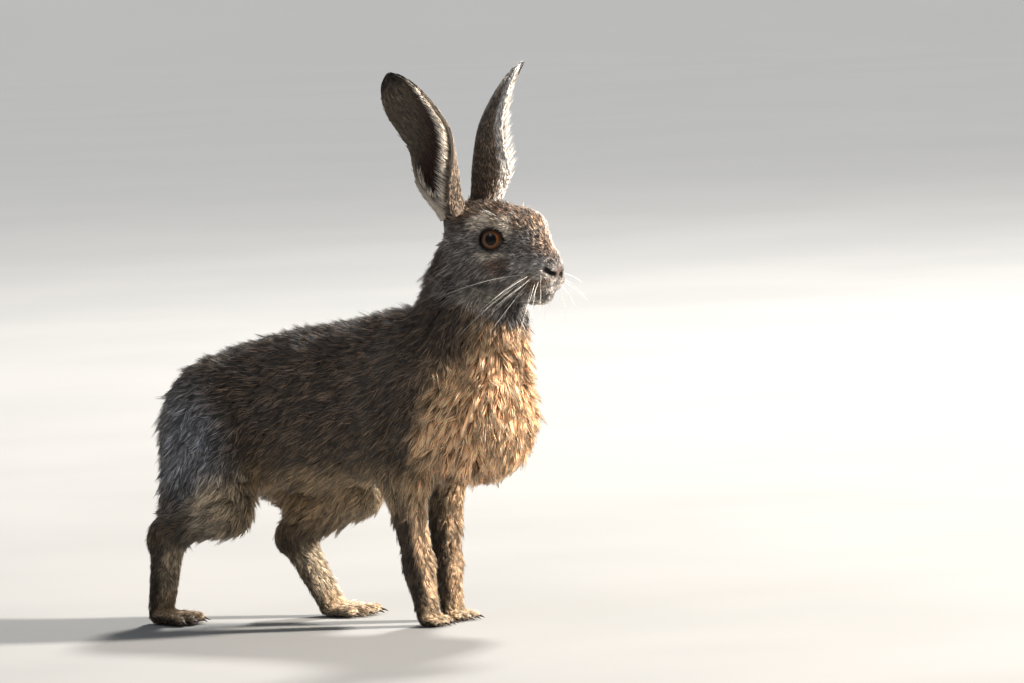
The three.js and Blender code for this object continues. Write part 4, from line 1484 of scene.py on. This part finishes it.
    def build(self, name: str, skin: bpy.types.Material, coat: bpy.types.Material) -> None:
        """Makes the ear and its fur.

        Args:
            name: name of the side.
            skin: finish of the leaf.
            coat: finish of the fur.
        """
        rng = np.random.default_rng(SEED + 10 + self.side)
        ripple = Ripple(SEED + 12, 9)
        self.skin(name, skin, ripple)
        back, cup, fringe = (int(count * SHARE_OF_COAT)
                             for count in (self.back_tufts, self.cup_tufts, self.fringe_tufts))
        for label, tufts in (("back", self.tufts(back, False, rng, ripple)),
                             ("cup", self.tufts(cup, True, rng, ripple)),
                             ("fringe", self.fringe(fringe, rng))):
            add_piece(tufts.mesh(f"coat_ear_{name}_{label}"), coat)


EARS = {
    "right": Ear(-1, vec(-51, 42, 100), 1.2),
    "left": Ear(1, vec(-12, 39, 102), 0.6, pale_from=0.66),
}


def turned_out(points: Array, faces: Array) -> Array:
    """The faces of a closed shape, turned round if they face inwards."""
    a, b, c = (points[faces[:, i]] for i in range(3))
    volume = np.sum(np.cross(b - a, c - a) * (a - points.mean(axis=0)))
    return faces if volume > 0 else faces[:, ::-1]


def lathe(profile: Array, steps: int, axis: Array, origin: Array) -> tuple[Array, Array]:
    """Turns a profile round an axis. Its first and last points lie on the axis.

    Args:
        profile: distance from the axis and place along it, from one end to the other.
        steps: divisions of the turn.
        axis: direction of the axis.
        origin: point on the axis.

    Returns:
        The points, and the corners of each triangle.
    """
    axis = unit(axis)
    side = unit(np.cross(axis, vec(0, 0, 1)))
    up = np.cross(side, axis)
    turn = np.arange(steps) / steps * 2 * math.pi
    ring = np.cos(turn)[:, None] * side + np.sin(turn)[:, None] * up
    inner = profile[1:-1]
    points = [origin + axis * profile[0][1]]
    for radius, along in inner:
        points.extend(origin + axis * along + ring * radius)
    points.append(origin + axis * profile[-1][1])
    last = len(points) - 1
    faces = []
    for j in range(steps):
        after = (j + 1) % steps
        faces.append((0, 1 + after, 1 + j))
        for i in range(len(inner) - 1):
            a, b = 1 + i * steps + j, 1 + i * steps + after
            faces += [(a, b, b + steps), (a, b + steps, a + steps)]
        end = 1 + (len(inner) - 1) * steps
        faces.append((last, end + j, end + after))
    return np.array(points), np.array(faces)


# The distance from the pupil's middle, in millimetres, that is stored in the mesh as 1.
IRIS_REACH = 12


def spike_faces(rings: int, sides: int) -> Array:
    """Corners of the triangles of a closed spike.

    Args:
        rings: rings of points from its base upwards. The point of its tip comes last.
        sides: points in a ring.

    Returns:
        Three corners for each triangle.
    """
    faces = [(0, j, j + 1) for j in range(1, sides - 1)]
    for i in range(rings - 1):
        for j in range(sides):
            a, b = i * sides + j, i * sides + (j + 1) % sides
            faces += [(a, b + sides, b), (a, a + sides, b + sides)]
    end = (rings - 1) * sides
    faces += [(end + j, rings * sides, end + (j + 1) % sides) for j in range(sides)]
    return np.array(faces)


def gather(spikes: list[Array], rings: int, sides: int) -> tuple[Array, Array]:
    """Joins the points of many like spikes.

    Args:
        spikes: points of each spike, ring by ring and then its tip.
        rings: rings in a spike.
        sides: points in a ring.

    Returns:
        All the points, and the corners of their triangles.
    """
    each = rings * sides + 1
    faces = spike_faces(rings, sides)
    return np.concatenate(spikes), np.concatenate([faces + i * each for i in range(len(spikes))])


@dataclass(frozen=True)
class Eye:
    """An eyeball with a clear bulge over a broad amber iris and a dark pupil."""

    side: int
    radius: float = EYE_RADIUS
    pupil: float = 3.5
    bulge: float = 0.5
    bulge_angle: float = 0.95
    steps: int = 40
    turns: int = 64

    def build(self, name: str, material: bpy.types.Material) -> bpy.types.Object:
        """Makes the eyeball, with the distance from the pupil's middle stored at each point.

        Args:
            name: name of the side.
            material: its finish.

        Returns:
            The new piece.
        """
        angle = np.linspace(0, math.pi, self.steps)
        reach = self.radius + self.bulge * np.maximum(1 - (angle / self.bulge_angle) ** 2, 0)
        profile = np.stack([reach * np.sin(angle), reach * np.cos(angle)], axis=1)
        place = Head().eye * vec(1, self.side, 1)
        points, faces = lathe(profile, self.turns, gaze(self.side), place)
        away = np.arccos(np.clip(unit(points - place) @ gaze(self.side), -1, 1)) * self.radius
        # The height on the eyeball feeds the painted shadow of the upper lid in the eye's finish.
        height = (points - place)[:, 2] / self.radius
        mesh = make_mesh(f"eyeball_{name}", on_head(points), turned_out(points, faces))
        turn = np.arctan2(points[:, 2] - place[2], points[:, 0] - place[0]) / (2 * math.pi) + 0.5
        paint(mesh, "Iris", np.stack([away / IRIS_REACH, height * 0.5 + 0.5, turn], axis=1))
        return add_piece(mesh, material, (f"eye_{name}",))


@dataclass(frozen=True)
class Claws:
    """The claws of all four feet, short and mostly hidden in the fur."""

    length: float = 4.2
    radius: float = 0.95
    hook: float = 1.7
    buried: float = 1.6
    rings: int = 7
    sides: int = 6

    def build(self, material: bpy.types.Material) -> None:
        """Makes one piece for each foot.

        Args:
            material: the claws' finish.
        """
        for leg in (*HIND_LEGS, *FORE_LEGS):
            toes = HIND_TOES if isinstance(leg, HindLeg) else FORE_TOES
            claws = []
            for start, end in toes.lines(leg.ball, leg.side):
                way = unit((end - start) * vec(1, 1, 0))
                claws.append(self.claw(end + way * (toes.radius - self.buried) - vec(0, 0, 0.2), way))
            mesh = make_mesh(f"claws_{leg.part.value}", *gather(claws, self.rings, self.sides))
            add_piece(mesh, material)

    def claw(self, root: Array, way: Array) -> Array:
        """Points of one curved spike from its root, pointing forwards and down."""
        upright = vec(0, 0, 1)
        side = np.cross(way, upright)
        turn = (np.arange(self.sides) / self.sides * 2 * math.pi)[:, None]
        points = []
        for i in range(self.rings):
            t = i / self.rings
            centre = root + way * self.length * t - upright * (self.hook * t * t)
            size = self.radius * (1 - t) ** 0.6
            points.extend(centre + np.cos(turn) * side * size * 0.8 + np.sin(turn) * upright * size)
        points.append(root + way * self.length - upright * self.hook)
        return np.array(points)


@dataclass(frozen=True)
class Whiskers:
    """Long pale whiskers on the muzzle, and a few over the eyes."""

    side_count: int = 15
    rows: int = 3
    brow_count: int = 2
    radius: float = 0.13
    rings: int = 9
    sides: int = 4

    def build(self, material: bpy.types.Material) -> bpy.types.Object:
        """Makes all the whiskers as one piece.

        Args:
            material: their finish.

        Returns:
            The new piece.
        """
        rng = np.random.default_rng(SEED + 20)
        hairs = []
        for side in (-1, 1):
            flip = vec(1, side, 1)
            for i in range(self.side_count):
                column, row = divmod(i, self.rows)
                root = vec(28 - column * 2.6, 8.6 + column * 0.9, -20.5 - row * 2.6)
                root += rng.normal(size=3) * 0.35
                way = vec(0.55 - 0.36 * column, 0.7, -0.2 - 0.3 * row) + rng.normal(size=3) * 0.16
                length = (24 + 4.5 * column) * rng.uniform(0.75, 1.15)
                hairs.append(self.hair(root * flip, unit(way) * flip, length, rng))
            for i in range(self.brow_count):
                root = vec(3 - i * 2.6, 14, 13.5)
                way = unit(vec(-0.1 - 0.2 * i, 0.8, 0.75) + rng.normal(size=3) * 0.1)
                hairs.append(self.hair(root * flip, way * flip, rng.uniform(11, 15), rng))
        points, faces = gather(hairs, self.rings, self.sides)
        return add_piece(make_mesh("whiskers", on_head(points), faces), material)

    def hair(self, root: Array, way: Array, length: float, rng: np.random.Generator) -> Array:
        """One tapered hair that droops towards its tip.

        Args:
            root: where it grows.
            way: its first direction.
            length: its length.
            rng: the random draw.

        Returns:
            Points in the head's frame.
        """
        droop = vec(-0.25, 0, -0.35) * rng.uniform(0.5, 1.3)
        side = unit(np.cross(way, vec(0.1, 0, 1)))
        up = np.cross(side, way)
        turn = np.arange(self.sides) / self.sides * 2 * math.pi
        ring = np.cos(turn)[:, None] * side + np.sin(turn)[:, None] * up
        points = []
        for i in range(self.rings):
            t = i / self.rings
            centre = root + way * length * t + droop * length * t * t * 0.6
            size = self.radius * (1 - t) ** 0.7 + 0.03
            points.extend(centre + ring * size)
        points.append(root + way * length + droop * length * 0.6)
        return np.array(points)


@dataclass(frozen=True)
class Wire:
    """One output of a material's nodes. Sums on it add Math nodes."""

    tree: "Tree"
    out: bpy.types.NodeSocket

    def math(self, operation: str, first: "Wire | float", second: "Wire | float") -> "Wire":
        """Adds a Math node."""
        return self.tree.node("ShaderNodeMath", {"operation": operation}, {0: first, 1: second})

    def __add__(self, other: "Wire | float") -> "Wire":
        """Sum."""
        return self.math("ADD", self, other)

    def __mul__(self, other: "Wire | float") -> "Wire":
        """Product."""
        return self.math("MULTIPLY", self, other)

    def __rsub__(self, other: float) -> "Wire":
        """Difference from a number."""
        return self.math("SUBTRACT", other, self)

    def rise(self, low: float, high: float) -> "Wire":
        """Rises smoothly from 0 at low to 1 at high."""
        inputs = {"Value": self, "From Min": low, "From Max": high}
        return self.tree.node("ShaderNodeMapRange", {"interpolation_type": "SMOOTHSTEP"}, inputs)


class Tree:
    """The nodes of one material."""

    def __init__(self, name: str) -> None:
        """Starts an empty material."""
        self.material = bpy.data.materials.new(name)
        self.material.use_nodes = True
        self.nodes = self.material.node_tree.nodes
        self.nodes.clear()

    def node(self, kind: str, settings: dict, inputs: dict, output: int | str | None = 0) -> Wire | None:
        """Adds a node.

        Args:
            kind: type of the node.
            settings: its properties, set first.
            inputs: values or links of its sockets, by name or number.
            output: the output that is wanted, or None for a node that ends the material.

        Returns:
            That output, or None.
        """
        node = self.nodes.new(kind)
        for name, value in settings.items():
            setattr(node, name, value)
        for name, value in inputs.items():
            if isinstance(value, Wire):
                self.material.node_tree.links.new(value.out, node.inputs[name])
            else:
                node.inputs[name].default_value = value
        return None if output is None else Wire(self, node.outputs[output])

    def mix(self, share: Wire | float, first: Wire | tuple, second: Wire | tuple, blend: str = "MIX") -> Wire:
        """Mixes two colours. Share 0 gives the first, 1 the second."""
        first, second = (c if isinstance(c, Wire) else (*c, 1) for c in (first, second))
        settings = {"data_type": "RGBA", "blend_type": blend}
        return self.node("ShaderNodeMix", settings, {0: share, 6: first, 7: second}, 2)

    def attribute(self, name: str) -> Wire:
        """A colour stored in the mesh."""
        return self.node("ShaderNodeAttribute", {"attribute_name": name}, {}, "Color")

    def channels(self, colour: Wire) -> tuple[Wire, Wire, Wire]:
        """The red, green and blue of a colour."""
        first = self.node("ShaderNodeSeparateColor", {}, {"Color": colour}, 0)
        return tuple(Wire(self, output) for output in first.out.node.outputs)

    def shader(self, inputs: dict) -> bpy.types.Material:
        """Ends the material with a Principled shader."""
        surface = self.node("ShaderNodeBsdfPrincipled", {}, inputs)
        self.node("ShaderNodeOutputMaterial", {}, {"Surface": surface}, None)
        return self.material


@dataclass(frozen=True)
class CoatFinish:
    """Tufts that are darker at the root, pale in a band and dark again at the tip."""

    name: str
    roughness: float = 0.5
    sheen: float = 0.1

    def material(self) -> bpy.types.Material:
        """Makes the material."""
        tree = Tree(self.name)
        along, chance, kind = tree.channels(tree.attribute("Hair"))
        colour = tree.mix(along.rise(0.1, 0.45), tree.attribute("Root"), tree.attribute("Band"))
        pale = kind.rise(0.7, 0.74)
        tipped = (along + chance * 0.25).rise(0.62, 0.9) * (1.0 - pale)
        colour = tree.mix(tipped, colour, tree.attribute("Tip"))
        level = chance * chance * 1.5 + 0.26 + pale * along * 0.9
        light = tree.node("ShaderNodeCombineColor", {}, {i: level for i in range(3)})
        colour = tree.mix(1.0, colour, light, "MULTIPLY")
        return tree.shader({"Base Color": colour, "Roughness": self.roughness, "Specular IOR Level": 0.5,
                            "Sheen Weight": self.sheen, "Sheen Roughness": 0.5})


@dataclass(frozen=True)
class SkinFinish:
    """The short underfur and bare skin between the tufts."""

    name: str
    grain: float = 900.0

    def material(self) -> bpy.types.Material:
        """Makes the material."""
        tree = Tree(self.name)
        place = tree.node("ShaderNodeTexCoord", {}, {}, "Object")
        noise = tree.node("ShaderNodeTexNoise", {}, {"Vector": place, "Scale": self.grain, "Detail": 3.0})
        light = tree.node("ShaderNodeCombineColor", {}, {i: noise * 0.9 + 0.45 for i in range(3)})
        colour = tree.mix(1.0, tree.attribute("Coat"), light, "MULTIPLY")
        bump = tree.node("ShaderNodeBump", {}, {"Height": noise, "Strength": 0.5, "Distance": 0.0004})
        return tree.shader({"Base Color": colour, "Roughness": 0.7, "Specular IOR Level": 0.3,
                            "Normal": bump})


@dataclass(frozen=True)
class EyeFinish:
    """A wet eye: dark pupil, amber iris with a brighter inner ring and a painted shadow of the upper lid over
    its top, and a dark rim.
    """

    name: str
    pupil_radius: float
    pupil: Colour = (8, 6, 5)
    inner: Colour = (122, 74, 34)
    outer: Colour = (52, 33, 20)
    streak: Colour = (60, 34, 18)
    painted_lid_shadow: Colour = (40, 22, 12)
    rim: Colour = (18, 12, 9)

    def material(self) -> bpy.types.Material:
        """Makes the material."""
        tree = Tree(self.name)
        away, height, turn = tree.channels(tree.attribute("Iris"))
        polar = tree.node("ShaderNodeCombineXYZ", {}, {0: turn * 60, 1: away * 14})
        streaks = tree.node("ShaderNodeTexNoise", {"noise_dimensions": "2D"},
                            {"Vector": polar, "Scale": 1.0, "Detail": 2.0})
        iris = tree.mix(self.ring(away, self.pupil_radius, 6.2), seen(self.inner), seen(self.outer))
        iris = tree.mix(streaks.rise(0.35, 0.75) * 0.5, iris, seen(self.streak))
        # Painted shadow: the top of the iris is darkened as if shaded by the upper lid.
        iris = tree.mix(height.rise(0.6, 0.95) * 0.5, iris, seen(self.painted_lid_shadow))
        iris = tree.mix(self.ring(away, 6.6, 8.0), iris, seen(self.rim))
        edge = self.ring(away, self.pupil_radius - 0.25, self.pupil_radius + 0.25)
        colour = tree.mix(edge, seen(self.pupil), iris)
        return tree.shader({"Base Color": colour, "Roughness": 0.5, "Specular IOR Level": 0.1,
                            "Coat Weight": 0.6, "Coat Roughness": 0.03, "Coat IOR": 1.36})

    @staticmethod
    def ring(away: Wire, start: float, end: float) -> Wire:
        """Rises from 0 to 1 between two distances from the pupil's middle, in millimetres."""
        return away.rise(start / IRIS_REACH, end / IRIS_REACH)


@dataclass(frozen=True)
class HornFinish:
    """Claws and whiskers."""

    name: str
    dark: Colour
    pale: Colour
    roughness: float

    def material(self) -> bpy.types.Material:
        """Makes the material."""
        tree = Tree(self.name)
        place = tree.node("ShaderNodeTexCoord", {}, {}, "Object")
        noise = tree.node("ShaderNodeTexNoise", {}, {"Vector": place, "Scale": 400.0, "Detail": 2.0})
        colour = tree.mix(noise.rise(0.3, 0.7), seen(self.dark), seen(self.pale))
        return tree.shader({"Base Color": colour, "Roughness": self.roughness})


@dataclass(frozen=True)
class Lamp:
    """A square area light: its place is in metres to the right, back and up of the view."""

    name: str
    away: tuple[float, float, float]
    size: float
    power: float
    colour: tuple[float, float, float]


LAMPS = (
    Lamp("key", (3.5, 0.5, 1.85), 0.35, 560, (1.0, 0.93, 0.84)),
    Lamp("fill", (-2.8, 2.4, 3.4), 1.6, 30, (0.88, 0.94, 1.0)),
    Lamp("rim", (0.9, -2.6, 2.8), 0.5, 260, (1.0, 0.97, 0.92)),
)


@dataclass(frozen=True)
class Studio:
    """The camera at the photo's angle, the lights and the pale floor."""

    azimuth: float = 32.0
    elevation: float = 4.0
    roll: float = 2.5
    distance: float = 5.0
    lens: float = 293.0
    sensor: float = 36.0
    aim: tuple[float, float] = (134.4, 161.4)
    floor_radius: float = 9.0
    wall_height: float = 7.0
    wall_bend: float = 3.0
    wall_glow: tuple[float, float, float] = (0.38, 0.38, 0.376)
    glow_reach: float = 6.0
    sides: int = 96
    lit_point: tuple[float, float, float] = (0, 0, 0.17)
    sky: tuple[float, float, float] = (0.86, 0.92, 1.0)
    sky_strength: float = 0.3

    def axes(self) -> tuple[Array, Array, Array]:
        """The view's right, backward and upward directions before the roll."""
        a, e = math.radians(self.azimuth), math.radians(self.elevation)
        right = vec(math.cos(a), math.sin(a), 0)
        back = vec(math.sin(a) * math.cos(e), -math.cos(a) * math.cos(e), math.sin(e))
        return right, back, np.cross(back, right)

    def camera(self) -> None:
        """Sets the camera."""
        right, back, up = self.axes()
        r = math.radians(self.roll)
        tilted_right = right * math.cos(r) - up * math.sin(r)
        tilted_up = right * math.sin(r) + up * math.cos(r)
        target = right * self.aim[0] + up * self.aim[1]
        place = to_row(target) + back * self.distance
        data = bpy.data.cameras.new("camera")
        data.lens, data.sensor_width, data.clip_end = self.lens, self.sensor, 100
        camera = bpy.data.objects.new("camera", data)
        turn = np.stack([tilted_right, tilted_up, back], axis=1)
        matrix = Matrix(turn.tolist()).to_4x4()
        matrix.translation = Vector(place)
        camera.matrix_world = matrix
        bpy.context.collection.objects.link(camera)
        bpy.context.scene.camera = camera

    def lamp(self, lamp: Lamp) -> None:
        """Adds a light that shines at the hare's middle."""
        right, back, _ = self.axes()
        flat_back = unit(back * vec(1, 1, 0))
        place = right * lamp.away[0] + flat_back * lamp.away[1] + vec(0, 0, lamp.away[2])
        data = bpy.data.lights.new(lamp.name, "AREA")
        data.size, data.energy, data.color = lamp.size, lamp.power, lamp.colour
        light = bpy.data.objects.new(lamp.name, data)
        light.location = place
        light.rotation_euler = (Vector(self.lit_point) - Vector(place)).to_track_quat("-Z", "Y").to_euler()
        bpy.context.collection.objects.link(light)

    def floor(self) -> None:
        """Makes the pale floor, which rises into a wall far behind."""
        bends = np.linspace(0, math.pi / 2, 40)[1:]
        radius = [*np.linspace(0.5, self.floor_radius, 6)]
        height = [0.0] * len(radius)
        radius += [self.floor_radius + self.wall_bend * math.sin(bend) for bend in bends]
        height += [self.wall_bend * (1 - math.cos(bend)) for bend in bends]
        radius.append(radius[-1])
        height.append(self.wall_height)
        steps = self.sides
        turn = np.arange(steps) / steps * 2 * math.pi
        points = [(r * math.cos(a), r * math.sin(a), h) for r, h in zip(radius, height) for a in turn]
        points.append((0, 0, 0))
        pairs = [(j, (j + 1) % steps) for j in range(steps)]
        faces = [(i * steps + a, (i + 1) * steps + a, (i + 1) * steps + b, i * steps + b)
                 for i in range(len(radius) - 1) for a, b in pairs]
        faces += [(len(points) - 1, a, b) for a, b in pairs]
        mesh = bpy.data.meshes.new("floor")
        mesh.from_pydata(points, [], faces)
        mesh.shade_smooth()
        mesh.materials.append(self.floor_material())
        floor = bpy.data.objects.new("floor", mesh)
        bpy.context.collection.objects.link(floor)

    def floor_material(self) -> bpy.types.Material:
        """A matt pale finish that glows softly behind the hare."""
        tree = Tree("pale_floor")
        place = tree.node("ShaderNodeTexCoord", {}, {}, "Object")
        noise = tree.node("ShaderNodeTexNoise", {}, {"Vector": place, "Scale": 3.0, "Detail": 2.0})
        pale = tree.mix(noise.rise(0.3, 0.7), seen((138, 138, 137)), seen((144, 143, 142)))
        behind = -self.axes()[1]
        across, depth = (tree.node("ShaderNodeSeparateXYZ", {}, {0: place}, i) for i in (0, 1))
        glow = (across * float(behind[0]) + depth * float(behind[1])).rise(0.0, self.glow_reach)
        lit = tree.mix(glow, (0.0, 0.0, 0.0), self.wall_glow)
        return tree.shader({"Base Color": pale, "Roughness": 0.9, "Specular IOR Level": 0.1,
                            "Emission Color": lit, "Emission Strength": 1.0})

    def light(self) -> None:
        """Sets the lights and the soft surrounding light."""
        for lamp in LAMPS:
            self.lamp(lamp)
        world = bpy.data.worlds.new("soft")
        world.use_nodes = True
        background = world.node_tree.nodes["Background"].inputs
        background["Color"].default_value = (*self.sky, 1)
        background["Strength"].default_value = self.sky_strength
        bpy.context.scene.world = world
        bpy.context.scene.view_settings.view_transform = "Standard"

    def build(self) -> None:
        """Makes the whole studio."""
        self.camera()
        self.floor()
        self.light()


def main() -> None:
    """Builds the studio and the dressed hare."""
    logging.basicConfig(level=logging.INFO, format="%(name)s: %(message)s")
    Studio().build()
    coat = CoatFinish("hare_coat").material()
    skin_finish = SkinFinish("hare_skin").material()
    markings = Markings(Head())
    flesh = Flesh()
    skin = Skin(flesh, markings)
    body = skin.build(skin_finish)
    Coat(flesh, markings, skin).build(body.data, coat)
    for name, ear in EARS.items():
        ear.build(name, skin_finish, coat)
    for name, side in (("right", -1), ("left", 1)):
        eye = Eye(side)
        eye.build(name, EyeFinish(f"wet_eye_{name}", eye.pupil).material())
    Claws().build(HornFinish("claw_horn", (52, 42, 36), (92, 78, 66), 0.4).material())
    Whiskers().build(HornFinish("whisker_horn", (206, 200, 190), (240, 236, 230), 0.45).material())


if __name__ == "__main__":
    main()
